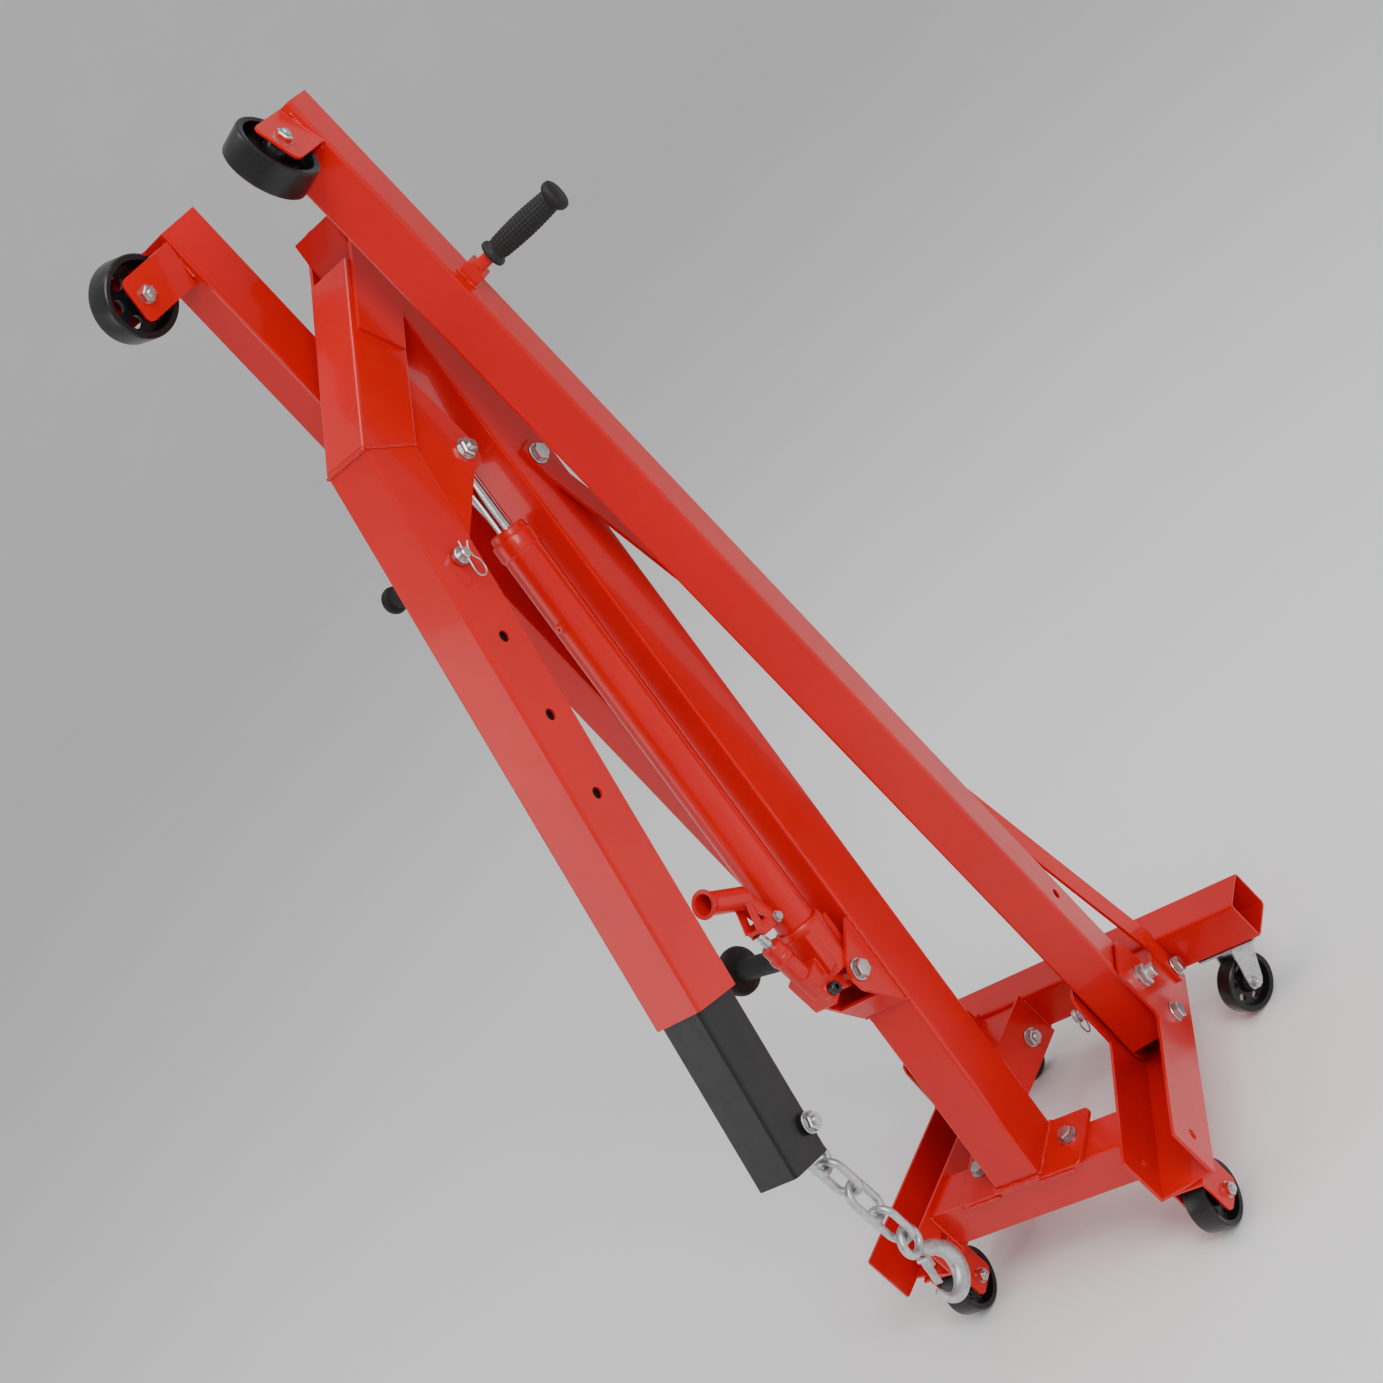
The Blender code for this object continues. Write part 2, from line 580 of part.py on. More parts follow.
def build_boom():
    main, top = build_boom_runs()
    pivot = Vector(BOOM_PIVOT)
    place = shift(0, pivot.x, pivot.y)
    steps = [("+", top)]
    # cheeks inside the outline of the upper run that reach past the mast to the pivot bolt
    cheek = [(0.190, 1.4490), (0.176, 1.4660), (0.100, 1.4135), (0.020, 1.3615),
             (0.050, 1.3080), (0.090, 1.3330), (0.176, 1.4150)]
    cheek = fillet(relative(cheek, BOOM_PIVOT), [0.012, 0.014, 0.02, 0.003, 0.003, 0.02, 0.016], 3)
    for s in (1, -1):
        centre = s * (BOOM_HALF + 0.0022)
        steps.append(("+", slab(cheek, 0.005, [ring(0.0083, (0, 0), 16)], "YZ", centre)))
    head = Vector(RAM_HEAD)
    # the plates' upper edges end inside the 3 mm rear walls of the two runs
    anchor = [(0.0400, 1.2992), (head.x + 0.020, head.y - 0.004), (head.x + 0.008, head.y - 0.024),
              (head.x - 0.016, head.y - 0.022), (-0.0935, 1.1290), (-0.0990, 1.1360),
              (-0.0512, 1.2402), (0.0375, 1.2984)]
    anchor = fillet(relative(anchor, BOOM_PIVOT), [0, 0.014, 0.014, 0.012, 0, 0, 0, 0], 3)
    eye = [ring(0.0063, tuple(head - pivot))]
    for s in (1, -1):
        steps.append(("+", slab(anchor, 0.005, eye, "YZ", s * 0.0185)))
    # the pull-pin hole and the row of reach holes below it
    _, along = boom_axes()
    bend = Vector(BOOM_BEND) - pivot
    travel = (Vector((-0.158, 1.145)) - pivot - bend).dot(along)
    for k in range(4):
        spot = bend + along * (travel + k * HOLE_PITCH)
        steps.append(("-", rod(0.0068, 0.2, (0, spot.x, spot.y), "X", 12)))
    solid("boom", main, steps, RED_PAINT, place)
    build_bolt("boom_pivot_bolt", place, BOOM_HALF + 0.0047, 0.008, 0.0135, 0.009)
    build_extension(place @ shift(0, *(bend + along * travel)), along, travel)


def build_extension(pin_place, along, travel):
    """The sliding black tube with its reach pin, and the chain bolt near its open end."""
    frame = pin_place @ spin("X", tilt_of(-along))
    length = (Vector(EXT_END) - Vector(BOOM_BEND)).dot(along) - travel
    tube = square_tube(2 * EXT_HALF, EXT_DEPTH, EXT_WALL, -length, 0.06, "Z")
    back, up = CHAIN_BOLT
    slot = block((0.012, 0.02, 0.13), (0, EXT_DEPTH / 2, -length))
    steps = [("-", rod(0.0066, 0.2, (0, 0, 0), "X", 12)),
             ("-", rod(0.0063, 0.2, (0, back, up - length), "X", 12)), ("-", slot)]
    solid("boom_extension", tube, steps, EXT_BLACK, frame)
    half = BOOM_HALF + GAP
    inner_end = EXT_HALF + GAP
    pin_length = half + 0.0155 - inner_end
    pin = rod(0.0062, pin_length, (inner_end + pin_length / 2, 0, 0), "X", 12)
    cap = rod(0.010, 0.008, (half + 0.0045, 0, 0), "X", 20)
    cross = rod(0.0017, 0.03, (half + 0.0120, 0, 0), "Z", 10)
    solid("reach_pin", pin, [("+", cap), ("-", cross)], ZINC_PLATE, frame)
    x = half + 0.0120
    clip = [(x, 0, 0.012), (x, 0, -0.020), (x, 0.004, -0.027), (x, 0.010, -0.029),
            (x, 0.016, -0.025), (x, 0.017, -0.018), (x, 0.013, -0.011), (x, 0.0088, -0.004),
            (x, 0.0084, 0.003), (x, 0.012, 0.009)]
    solid("pin_clip", wire(clip, 0.0012, False, 1), [], ZINC_PLATE, frame)
    bolt = (frame @ shift(0, back, up - length)).translation
    build_bolt("chain_bolt", shift(*bolt), EXT_HALF + 0.004, 0.006, 0.0115, 0.009)
    build_chain(bolt)


def link_loop(inner):
    """Centre line of a link in the YZ plane; the origin is the inside of its top bend."""
    half = CHAIN_WIDTH / 2
    top = CHAIN_WIRE - half
    bottom = top - (inner + 2 * CHAIN_WIRE - CHAIN_WIDTH)
    points = []
    for k in range(7):
        angle = math.pi * k / 6
        points.append((0, half * math.cos(angle), top + half * math.sin(angle)))
    for k in range(7):
        angle = math.pi + math.pi * k / 6
        points.append((0, half * math.cos(angle), bottom + half * math.sin(angle)))
    return points


def build_chain(bolt):
    """Links hang straight down; every second one is turned through a right angle."""
    z = bolt.z + BOLT_R + GAP
    for k in range(CHAIN_LINKS):
        inner = FIRST_LINK if k == 0 else CHAIN_PITCH
        link = wire(link_loop(inner + GAP), CHAIN_WIRE, True, 2)
        link.transform(spin("Z", 0.0 if k % 2 == 0 else math.pi / 2))
        solid("chain_link_" + str(k + 1), link, [], GALVANISED, shift(0, bolt.y, z))
        z -= inner
    build_hook(bolt.y, z)


def build_hook(y, z):
    """Eye hook with its mouth to the front; the origin is the inside of its eye's top."""
    eye_r = 0.0150
    wire_r = 0.0050
    centre = wire_r - eye_r
    turns = 18
    eye = [(0, eye_r * math.sin(2 * math.pi * k / turns),
            centre + eye_r * math.cos(2 * math.pi * k / turns)) for k in range(turns)]
    bowl_z = centre - 0.0585
    bowl_r = 0.0270
    body = [(0, 0.001, centre - 0.0150), (0, 0.006, centre - 0.0210), (0, 0.0155, centre - 0.0320)]
    scales = [0.80, 0.95, 1.05]
    for k in range(15):
        part = k / 14
        angle = math.radians(52 - 232 * part)
        body.append((0, bowl_r * math.cos(angle), bowl_z + bowl_r * math.sin(angle)))
        scales.append(1.10 + 0.25 * math.sin(math.pi * part) - 0.45 * part * part)
    shank = wire(body, 0.0082, False, 2, scales)
    solid("hook", shank, [("+", wire(eye, wire_r, True, 2))], GALVANISED, shift(0, y, z))
    # the latch hangs from the throat and rests against the inside of the tip
    tip = Vector((body[-1][1], body[-1][2]))
    top = Vector((-0.0070, centre - 0.0255))
    run = tip + Vector((0.0105, 0.004)) - top
    turn = spin("X", tilt_of(-run.normalized()))
    strap = block((0.0100, 0.0022, run.length), (0, 0, -run.length / 2))
    ear = rod(0.0036, 0.0100, (0, 0, 0), "X", 12)
    place = shift(0, y + top.x, z + top.y)
    solid("hook_latch", moved(strap, turn), [("+", ear)], ZINC_PLATE, place)


def ram_frame():
    foot = Vector(RAM_FOOT)
    direction = (Vector(RAM_HEAD) - foot).normalized()
    return shift(0, foot.x, foot.y) @ spin("X", tilt_of(direction))


def build_ram():
    """Cylinder with its base casting, the pump standing upright in front, and the rod."""
    frame = ram_frame()
    to_ram = frame.inverted()
    span = (Vector(RAM_HEAD) - Vector(RAM_FOOT)).length
    top = 0.6246
    body = rod(RAM_R, top - 0.045, (0, 0, (top + 0.045) / 2), "Z", 24)
    collar = rod(RAM_R + 0.0015, 0.016, (0, 0, top - 0.010), "Z", 24)
    nose = rod(RAM_R - 0.004, 0.008, (0, 0, top + 0.003), "Z", 20)
    base = slab(fillet(rectangle(0.054, 0.062, (0, -0.004)), 0.010), 0.058, (), "XY", 0.046)
    lug = slab(fillet([(-0.014, -0.012), (0.012, -0.012), (0.014, 0.030), (-0.020, 0.030)],
                      [0.011, 0.011, 0, 0], 3), 0.034, (), "YZ", 0)
    rise = shift(0, PUMP_Y, RAM_FOOT[1])
    seat = moved(block((0.036, 0.046, 0.052), (0, 0.008, 0.026)), to_ram @ rise)
    barrel = moved(rod(0.0125, 0.062, (0, 0, 0.070), "Z", 20), to_ram @ rise)
    pump_bore = moved(rod(0.0061, 0.066, (0, 0, 0.0795), "Z", 14), to_ram @ rise)
    valve_hole = moved(rod(0.0052, 0.020, (0.018, -0.004, 0.018), "X", 12), to_ram @ rise)
    pivot_plate = block((0.009, 0.040, 0.020), (0, LEVER_PIVOT[0] + 0.012, LEVER_PIVOT[1]))
    boss = rod(0.010, 0.009, (0, *LEVER_PIVOT), "X", 20)
    hinge_hole = rod(0.0036, 0.03, (0, *LEVER_PIVOT), "X", 12)
    bore = rod(ROD_R + GAP, 0.600, (0, 0, 0.085 + 0.300), "Z", 20)
    vent = rod(0.0045, 0.006, (0, -RAM_R - 0.0008, 0.505), "Y", 12)
    steps = [("+", collar), ("+", nose), ("+", base), ("+", lug), ("+", seat), ("+", barrel),
             ("+", vent), ("+", moved(pivot_plate, to_ram)), ("+", moved(boss, to_ram)),
             ("-", bore), ("-", pump_bore), ("-", moved(hinge_hole, to_ram)), ("-", valve_hole),
             ("-", rod(0.0066, 0.1, (0, 0, 0), "X", 12))]
    solid("ram_cylinder", body, steps, RED_PAINT, frame)
    rod_length = span - 0.112
    shaft = rod(ROD_R, rod_length, (0, 0, 0.100 + rod_length / 2), "Z", 20)
    eye = slab(ring(0.0155, (0, span), 20), 0.026, (), "YZ", 0)
    bore_eye = rod(0.0105, 0.06, (0, 0, span), "X", 20)
    solid("ram_rod", shaft, [("+", eye), ("-", bore_eye)], CHROME, frame)
    stem = rod(0.0048, 0.016, (0.0185, 0, 0), "X", 12)
    knob = rod(0.0075, 0.009, (0.0240, 0, 0), "X", 12)
    cross = rod(0.0016, 0.026, (0.0240, 0, 0), "Y", 10)
    solid("release_valve", stem, [("+", knob), ("+", cross)], ZINC_PLATE,
          rise @ shift(0, -0.004, 0.018))


def build_ram_mounts():
    frame = mast_frame()
    foot = frame.inverted() @ Vector((0, *RAM_FOOT))
    face = -(MAST_DEPTH / 2 + GAP)
    outline = [(face, foot.z + 0.052), (foot.y - 0.006, foot.z + 0.018),
               (foot.y - 0.018, foot.z + 0.002), (foot.y - 0.012, foot.z - 0.020),
               (face, foot.z - 0.074)]
    outline = fillet(outline, [0.002, 0.012, 0.012, 0.012, 0.004], 3)
    hole = [ring(BOLT_R + GAP, (foot.y, foot.z))]
    plate = slab(outline, 0.005, hole, "YZ", MAST_HALF - 0.0028)
    other = slab(outline, 0.005, hole, "YZ", -(MAST_HALF - 0.0028))
    tie = block((2 * MAST_HALF - 0.002, 0.042, 0.004), (0, 0, 0))
    lean = math.atan2(0.054, foot.y - 0.012 - face)
    tie.transform(shift(0, face - 0.021, foot.z - 0.0510) @ spin("X", lean))
    solid("ram_bracket", plate, [("+", tie), ("+", other)], RED_PAINT, frame)
    place = frame @ shift(0, foot.y, foot.z)
    build_bolt("ram_foot_bolt", place, MAST_HALF, BOLT_R, 0.0115, 0.009)
    for side, tag in ((1, "r"), (-1, "l")):
        stub = rod(0.0060, 0.0055, (side * 0.0187, 0, 0), "X", 12)
        head = rod(0.0115, 0.008, (side * (0.0210 + GAP + 0.004), 0, 0), "X", 6)
        solid("ram_head_bolt_" + tag, head, [("+", stub)], ZINC_PLATE, shift(0, *RAM_HEAD))


def build_pump():
    base = RAM_FOOT[1]
    pin_z = LEVER_PIN[1]
    reach = pin_z - 0.0037 - (base + 0.060)
    plunger = rod(0.0057, reach, (0, 0, reach / 2), "Z", 14)
    solid("pump_plunger", plunger, [], ZINC_PLATE, shift(0, PUMP_Y, base + 0.060))
    place = shift(0, *LEVER_PIVOT)
    pin = Vector(LEVER_PIN) - Vector(LEVER_PIVOT)
    root = Vector((-0.188, 0.648)) - Vector(LEVER_PIVOT)
    mouth = Vector((-0.235, 0.6890)) - Vector(LEVER_PIVOT)
    cheek = fillet([(0.009, -0.007), (0.010, 0.030), (root.x + 0.014, root.y + 0.004),
                    (root.x - 0.018, root.y + 0.006), (pin.x - 0.007, pin.y + 0.006),
                    (pin.x - 0.005, pin.y - 0.006)], [0.007, 0.006, 0.004, 0.003, 0.005, 0.005], 2)
    steps = [("+", slab(cheek, 0.0040, [ring(0.0037, (0, 0), 10)], "YZ", s * 0.0088)) for s in (1, -1)]
    steps.append(("+", rod(0.0030, 0.021, (0, pin.x, pin.y), "X", 12)))
    middle = (root + mouth) / 2
    along = (mouth - root).normalized()
    turn = shift(0, middle.x, middle.y) @ spin("X", tilt_of(along))
    length = (mouth - root).length
    steps.append(("+", moved(rod(0.0135, length, (0, 0, 0), "Z", 24), turn)))
    steps.append(("+", moved(rod(0.0160, 0.006, (0, 0, length / 2 - 0.002), "Z", 24), turn)))
    steps.append(("-", moved(rod(0.0108, length, (0, 0, 0.008), "Z", 20), turn)))
    bridge = block((0.0180, 0.012, 0.012), (0, root.x - 0.001, root.y - 0.004))
    solid("lever_socket", bridge, steps, RED_PAINT, place)
    axle = rod(0.0033, 0.0262, (0, 0, 0), "X", 12)
    heads = [("+", rod(0.0055, 0.004, (s * 0.0131, 0, 0), "X", 6)) for s in (1, -1)]
    solid("lever_axle", axle, heads, ZINC_PLATE, place)


def main():
    build_cross_tubes()
    for side, tag in ((1, "r"), (-1, "l")):
        build_pocket(side, tag)
        build_leg(side, tag)
        build_leg_wheel(side, tag)
        build_front_wheel(side, tag)
        build_caster(side, tag, CASTER_TURN[side])
        build_lock_pin(side, tag)
        build_brace(side, tag)
        build_bolt("leg_pivot_bolt_" + tag, pocket_frame(side), POCKET_HALF)
    build_handle(1, "r", 1.198, 0.0)
    build_handle(-1, "l", 0.964, 0.0139)
    build_buffer()
    build_mast()
    build_bolt("brace_bolt_top", shift(0, 0.081, 1.1205), MAST_HALF + GAP + 0.005)
    build_boom()
    build_ram()
    build_ram_mounts()
    build_pump()
    to_origin = shift(*ORIGIN_SHIFT, 0)
    for group in (PARTS, CUTTERS):
        for made in group.objects:
            made.matrix_world = to_origin @ made.matrix_world


for stale in list(bpy.data.objects):
    bpy.data.objects.remove(stale)
PARTS = make_collection("folding_engine_crane")
CUTTERS = make_collection("cutters")
RED_PAINT = make_material("red_paint", RED, 0.25, 0.0)
EXT_BLACK = make_material("black_paint", BLACK, 0.35, 0.0)
WHEEL_BLACK = make_material("wheel_black", BLACK, 0.4, 0.0)
RUBBER = make_material("rubber", (0.02, 0.02, 0.02), 0.7, 0.0)
ZINC_PLATE = make_material("zinc_plate", ZINC, 0.35, 1.0)
GALVANISED = make_material("galvanised", (0.55, 0.56, 0.57), 0.5, 1.0)
CHROME = make_material("chrome", (0.75, 0.76, 0.77), 0.12, 1.0)
main()
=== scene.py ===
"""Looks of the folded engine crane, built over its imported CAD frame."""
import json
import math

import bmesh
import bpy
from mathutils import Matrix, Vector


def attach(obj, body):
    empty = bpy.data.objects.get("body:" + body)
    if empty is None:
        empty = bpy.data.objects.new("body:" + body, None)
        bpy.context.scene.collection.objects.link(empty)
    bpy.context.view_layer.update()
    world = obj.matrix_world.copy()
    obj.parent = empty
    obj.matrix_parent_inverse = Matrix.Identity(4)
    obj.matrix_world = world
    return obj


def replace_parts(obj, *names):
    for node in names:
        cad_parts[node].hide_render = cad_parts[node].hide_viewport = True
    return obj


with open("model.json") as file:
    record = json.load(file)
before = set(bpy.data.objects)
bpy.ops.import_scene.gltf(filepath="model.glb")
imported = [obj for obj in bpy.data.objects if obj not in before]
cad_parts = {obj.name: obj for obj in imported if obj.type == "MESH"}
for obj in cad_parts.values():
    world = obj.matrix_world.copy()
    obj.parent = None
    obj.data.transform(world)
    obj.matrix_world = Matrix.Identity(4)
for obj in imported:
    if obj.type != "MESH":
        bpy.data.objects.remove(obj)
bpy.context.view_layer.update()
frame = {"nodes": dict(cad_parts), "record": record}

# the CAD's own driving dimensions, metres
PIVOT_X, PIVOT_Z = 0.132, 0.1225
SPLAY, LEAN, MAST_TILT = math.radians(13.5), math.radians(3.7), math.radians(15.09)
POCKET_HALF = 0.0362
UPRIGHT_U = 0.0645
REAR_Y, FRONT_Y = 0.1446, -0.184
LEG_WHEEL_U, LEG_WHEEL_N = 1.420, 0.094
RAM_FOOT, RAM_HEAD = (-0.176, 0.4905), (0.018, 1.1885)
BOOM_PIVOT = (0.165, 1.4405)
BOOM_BEND, BOOM_END, EXT_END = (-0.0807, 1.2602), (-0.3577, 0.6520), (-0.4385, 0.4715)
BOOM_HALF = 0.034
MAST_HALF, MAST_DEPTH = 0.0332, 0.0786
LEVER_PIVOT, LEVER_PIN, PUMP_Y = (-0.181, 0.6025), (-0.2115, 0.6150), -0.2115
TAU = 2 * math.pi
SIDES = ((1, "r", "right"), (-1, "l", "left"))


def at(x, y, z):
    return Matrix.Translation((x, y, z))


def rot(axis, angle):
    return Matrix.Rotation(angle, 4, axis)


WORLD = at(0.03069, 0.13180, 0)


def pocket(side):
    return WORLD @ at(side * PIVOT_X, 0, PIVOT_Z) @ rot("Z", side * SPLAY)


def leg(side):
    return pocket(side) @ rot("X", -(math.pi / 2 + LEAN))


def mast():
    return WORLD @ at(0, -0.181, 0.1563) @ rot("X", -MAST_TILT)


def tilt(direction):
    return rot("X", -math.atan2(direction[0], direction[1]))


def ram():
    run = Vector(RAM_HEAD) - Vector(RAM_FOOT)
    return WORLD @ at(0, *RAM_FOOT) @ tilt(run)


# ---------------------------------------------------------------- materials

def node(tree, kind, inputs=None, **settings):
    made = tree.nodes.new(kind)
    for key, value in settings.items():
        setattr(made, key, value)
    for key, value in (inputs or {}).items():
        if isinstance(value, bpy.types.NodeSocket):
            tree.links.new(value, made.inputs[key])
        else:
            made.inputs[key].default_value = value
    return made


def surface(name, roughness, metallic=0.0, coat=0.0, specular=0.5):
    made = bpy.data.materials.new(name)
    made.use_nodes = True
    tree = made.node_tree
    shader = tree.nodes["Principled BSDF"]
    shader.inputs["Roughness"].default_value = roughness
    shader.inputs["Metallic"].default_value = metallic
    shader.inputs["Coat Weight"].default_value = coat
    shader.inputs["Coat Roughness"].default_value = 0.04
    shader.inputs["Specular IOR Level"].default_value = specular
    where = node(tree, "ShaderNodeTexCoord").outputs["Object"]
    return made, tree, shader, where


def noise(tree, where, scale, detail=4.0, rough=0.55):
    made = node(tree, "ShaderNodeTexNoise",
                {"Vector": where, "Scale": scale, "Detail": detail, "Roughness": rough})
    return made.outputs["Fac"]


def ramp(tree, factor, stops):
    made = node(tree, "ShaderNodeValToRGB", {"Fac": factor})
    made.color_ramp.elements[0].position = stops[0][0]
    made.color_ramp.elements[0].color = (*stops[0][1], 1)
    made.color_ramp.elements[1].position = stops[-1][0]
    made.color_ramp.elements[1].color = (*stops[-1][1], 1)
    for place, colour in stops[1:-1]:
        made.color_ramp.elements.new(place).color = (*colour, 1)
    return made.outputs["Color"]


def spread(tree, factor, low, high):
    """Maps a 0 to 1 factor onto a range."""
    return node(tree, "ShaderNodeMapRange", {"Value": factor, "To Min": low, "To Max": high}).outputs[0]


def bump(tree, shader, heights):
    """Chains bumps: a list of (height socket, strength, distance)."""
    last = None
    for height, strength, distance in heights:
        inputs = {"Height": height, "Strength": strength, "Distance": distance}
        if last:
            inputs["Normal"] = last
        last = node(tree, "ShaderNodeBump", inputs).outputs["Normal"]
    tree.links.new(last, shader.inputs["Normal"])


def paint(name, dark, light, peel=0.10, cast=0.0, roughness=0.30):
    """Gloss enamel: slow colour drift, orange peel, a few dull patches; cast adds sand texture."""
    made, tree, shader, where = surface(name, roughness, coat=0.30, specular=0.30)
    drift = ramp(tree, noise(tree, where, 5.0, 5.0), [(0.30, dark), (0.72, light)])
    tree.links.new(drift, shader.inputs["Base Color"])
    dull = spread(tree, noise(tree, where, 28.0, 6.0, 0.6), roughness - 0.08, roughness + 0.14)
    tree.links.new(dull, shader.inputs["Roughness"])
    coat = spread(tree, noise(tree, where, 60.0, 3.0), 0.02, 0.12)
    tree.links.new(coat, shader.inputs["Coat Roughness"])
    heights = [(noise(tree, where, 320.0, 2.0), peel, 0.0006),
               (noise(tree, where, 14.0, 3.0), 0.10, 0.0020)]
    if cast:
        heights.append((noise(tree, where, 900.0, 6.0, 0.7), cast, 0.0010))
    bump(tree, shader, heights)
    return made


def metal(name, dark, light, roughness, scale, streak=0.0):
    """Plated steel: cloudy tone, cell pattern in the roughness and fine scratches."""
    made, tree, shader, where = surface(name, roughness, metallic=1.0)
    cloud = noise(tree, where, scale, 6.0, 0.6)
    cells = node(tree, "ShaderNodeTexVoronoi", {"Vector": where, "Scale": scale * 4.0}).outputs["Color"]
    tone = node(tree, "ShaderNodeMix", {0: 0.25, 6: ramp(tree, cloud, [(0.3, dark), (0.7, light)]),
                                         7: node(tree, "ShaderNodeHueSaturation",
                                                 {"Saturation": 0.0, "Color": cells}).outputs[0]},
                data_type="RGBA", blend_type="SOFT_LIGHT").outputs[2]
    tree.links.new(tone, shader.inputs["Base Color"])
    tree.links.new(spread(tree, cloud, roughness - 0.10, roughness + 0.14), shader.inputs["Roughness"])
    stretched = node(tree, "ShaderNodeMapping", {"Vector": where, "Scale": (40, 40, 900)}).outputs[0]
    bump(tree, shader, [(noise(tree, where, 700.0, 5.0, 0.7), 0.10, 0.0005),
                        (noise(tree, stretched, 1.0, 2.0), streak, 0.0004)])
    return made


def black(name, base, roughness, grain, grain_scale, dust):
    """Black paint or rubber with grain and a thin grey dust."""
    made, tree, shader, where = surface(name, roughness, coat=0.10 if roughness < 0.5 else 0.0,
                                       specular=0.35)
    dusty = ramp(tree, noise(tree, where, 45.0, 8.0, 0.7),
                 [(0.35, base), (0.62, base), (0.85, tuple(c + dust for c in base))])
    tree.links.new(dusty, shader.inputs["Base Color"])
    tree.links.new(spread(tree, noise(tree, where, 60.0, 6.0), roughness - 0.1, roughness + 0.2),
                   shader.inputs["Roughness"])
    bump(tree, shader, [(noise(tree, where, grain_scale, 6.0, 0.65), grain, 0.0008)])
    return made


RED = paint("red_enamel", (0.56, 0.0, 0.001), (0.66, 0.001, 0.002))
RED_WELD = paint("red_over_weld", (0.54, 0.0, 0.001), (0.66, 0.001, 0.002), 0.35, 0.15, 0.26)
RED_CAST = paint("red_over_casting", (0.54, 0.0, 0.001), (0.66, 0.001, 0.002), 0.3, 0.35, 0.32)
BLACK = black("black_satin", (0.010, 0.010, 0.011), 0.34, 0.08, 500.0, 0.010)
WHEEL = black("wheel_gloss_black", (0.008, 0.008, 0.009), 0.26, 0.25, 350.0, 0.035)
RUBBER = black("grip_rubber", (0.010, 0.010, 0.010), 0.55, 0.20, 700.0, 0.012)
ZINC = metal("zinc_plate", (0.42, 0.43, 0.44), (0.66, 0.66, 0.65), 0.30, 90.0, 0.05)
GALV = metal("galvanised", (0.40, 0.41, 0.42), (0.62, 0.63, 0.64), 0.42, 140.0, 0.03)
CHROME = metal("hard_chrome", (0.62, 0.63, 0.65), (0.74, 0.75, 0.76), 0.12, 60.0, 0.10)


# ---------------------------------------------------------------- shapes

def place(name, mesh, material, body, slot, sharp=35):
    for face in mesh.polygons:
        face.use_smooth = True
    mesh.set_sharp_from_angle(angle=math.radians(sharp))
    made = bpy.data.objects.new(name, mesh)
    bpy.context.scene.collection.objects.link(made)
    mesh.materials.clear()
    mesh.materials.append(material)
    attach(made, body)
    return made


def from_parts(name, parts):
    """One mesh from (vertices, faces) parts, with the faces turned outward."""
    verts, faces = [], []
    for part_verts, part_faces in parts:
        base = len(verts)
        verts += [tuple(v) for v in part_verts]
        faces += [tuple(base + i for i in face) for face in part_faces]
    mesh = bpy.data.meshes.new(name)
    mesh.from_pydata(verts, [], faces)
    build = bmesh.new()
    build.from_mesh(mesh)
    bmesh.ops.recalc_face_normals(build, faces=build.faces)
    build.to_mesh(mesh)
    build.free()
    return mesh


def turned(profile, matrix, segments=64, closed=False, shape=None):
    """A turned shape about local X: profile is (radius, x); shape adds to the radius by (x, angle)."""
    verts, faces = [], []
    for radius, x in profile:
        for k in range(segments):
            angle = TAU * k / segments
            r = max(radius, 1e-5) + (shape(x, angle) if shape else 0.0)
            verts.append(matrix @ Vector((x, r * math.cos(angle), r * math.sin(angle))))
    rings = len(profile)
    for i in range(rings if closed else rings - 1):
        j = (i + 1) % rings
        for k in range(segments):
            n = (k + 1) % segments
            faces.append((i * segments + k, i * segments + n, j * segments + n, j * segments + k))
    if not closed:
        faces.append(tuple(range(segments)))
        faces.append(tuple((rings - 1) * segments + k for k in range(segments)))
    return verts, faces


def swept(points, radii, closed=False, sides=16, flat=1.0, normal=None):
    """A round or oval bar along points; flat scales its thickness along the given normal."""
    points = [Vector(p) for p in points]
    count = len(points)
    if not isinstance(radii, (list, tuple)):
        radii = [radii] * count
    side = Vector(normal) if normal else None
    verts, faces = [], []
    for i, here in enumerate(points):
        ahead = points[(i + 1) % count] if closed or i + 1 < count else here
        behind = points[i - 1] if closed or i else here
        along = (ahead - behind).normalized()
        if side is None:
            side = along.orthogonal().normalized()
        side = (side - along * side.dot(along)).normalized()
        other = along.cross(side)
        for k in range(sides):
            angle = TAU * k / sides
            verts.append(here + side * radii[i] * flat * math.cos(angle)
                         + other * radii[i] * math.sin(angle))
    for i in range(count if closed else count - 1):
        j = (i + 1) % count
        for k in range(sides):
            n = (k + 1) % sides
            faces.append((i * sides + k, i * sides + n, j * sides + n, j * sides + k))
    if not closed:
        faces.append(tuple(range(sides)))
        faces.append(tuple((count - 1) * sides + k for k in range(sides)))
    return verts, faces


def boxed(size, matrix):
    x, y, z = (value / 2 for value in size)
    verts = [matrix @ Vector((a * x, b * y, c * z)) for a in (-1, 1) for b in (-1, 1) for c in (-1, 1)]
    return verts, [(0, 1, 3, 2), (4, 6, 7, 5), (0, 4, 5, 1), (2, 3, 7, 6), (0, 2, 6, 4), (1, 5, 7, 3)]


def hexagon(across, height, matrix):
    """A hex head along local X from x=0, its outer corners turned off."""
    verts, faces = [], []
    rings = [(0.90, 0.0), (1.0, 0.06), (1.0, 0.80), (0.86, 1.0)]
    for scale, x in rings:
        for k in range(6):
            angle = TAU * k / 6
            r = across / math.sqrt(3) * scale
            verts.append(matrix @ Vector((x * height, r * math.cos(angle), r * math.sin(angle))))
    for i in range(len(rings) - 1):
        for k in range(6):
            n = (k + 1) % 6
            faces.append((i * 6 + k, i * 6 + n, i * 6 + 6 + n, i * 6 + 6 + k))
    faces += [tuple(range(6)), tuple(18 + k for k in range(6))]
    return verts, faces


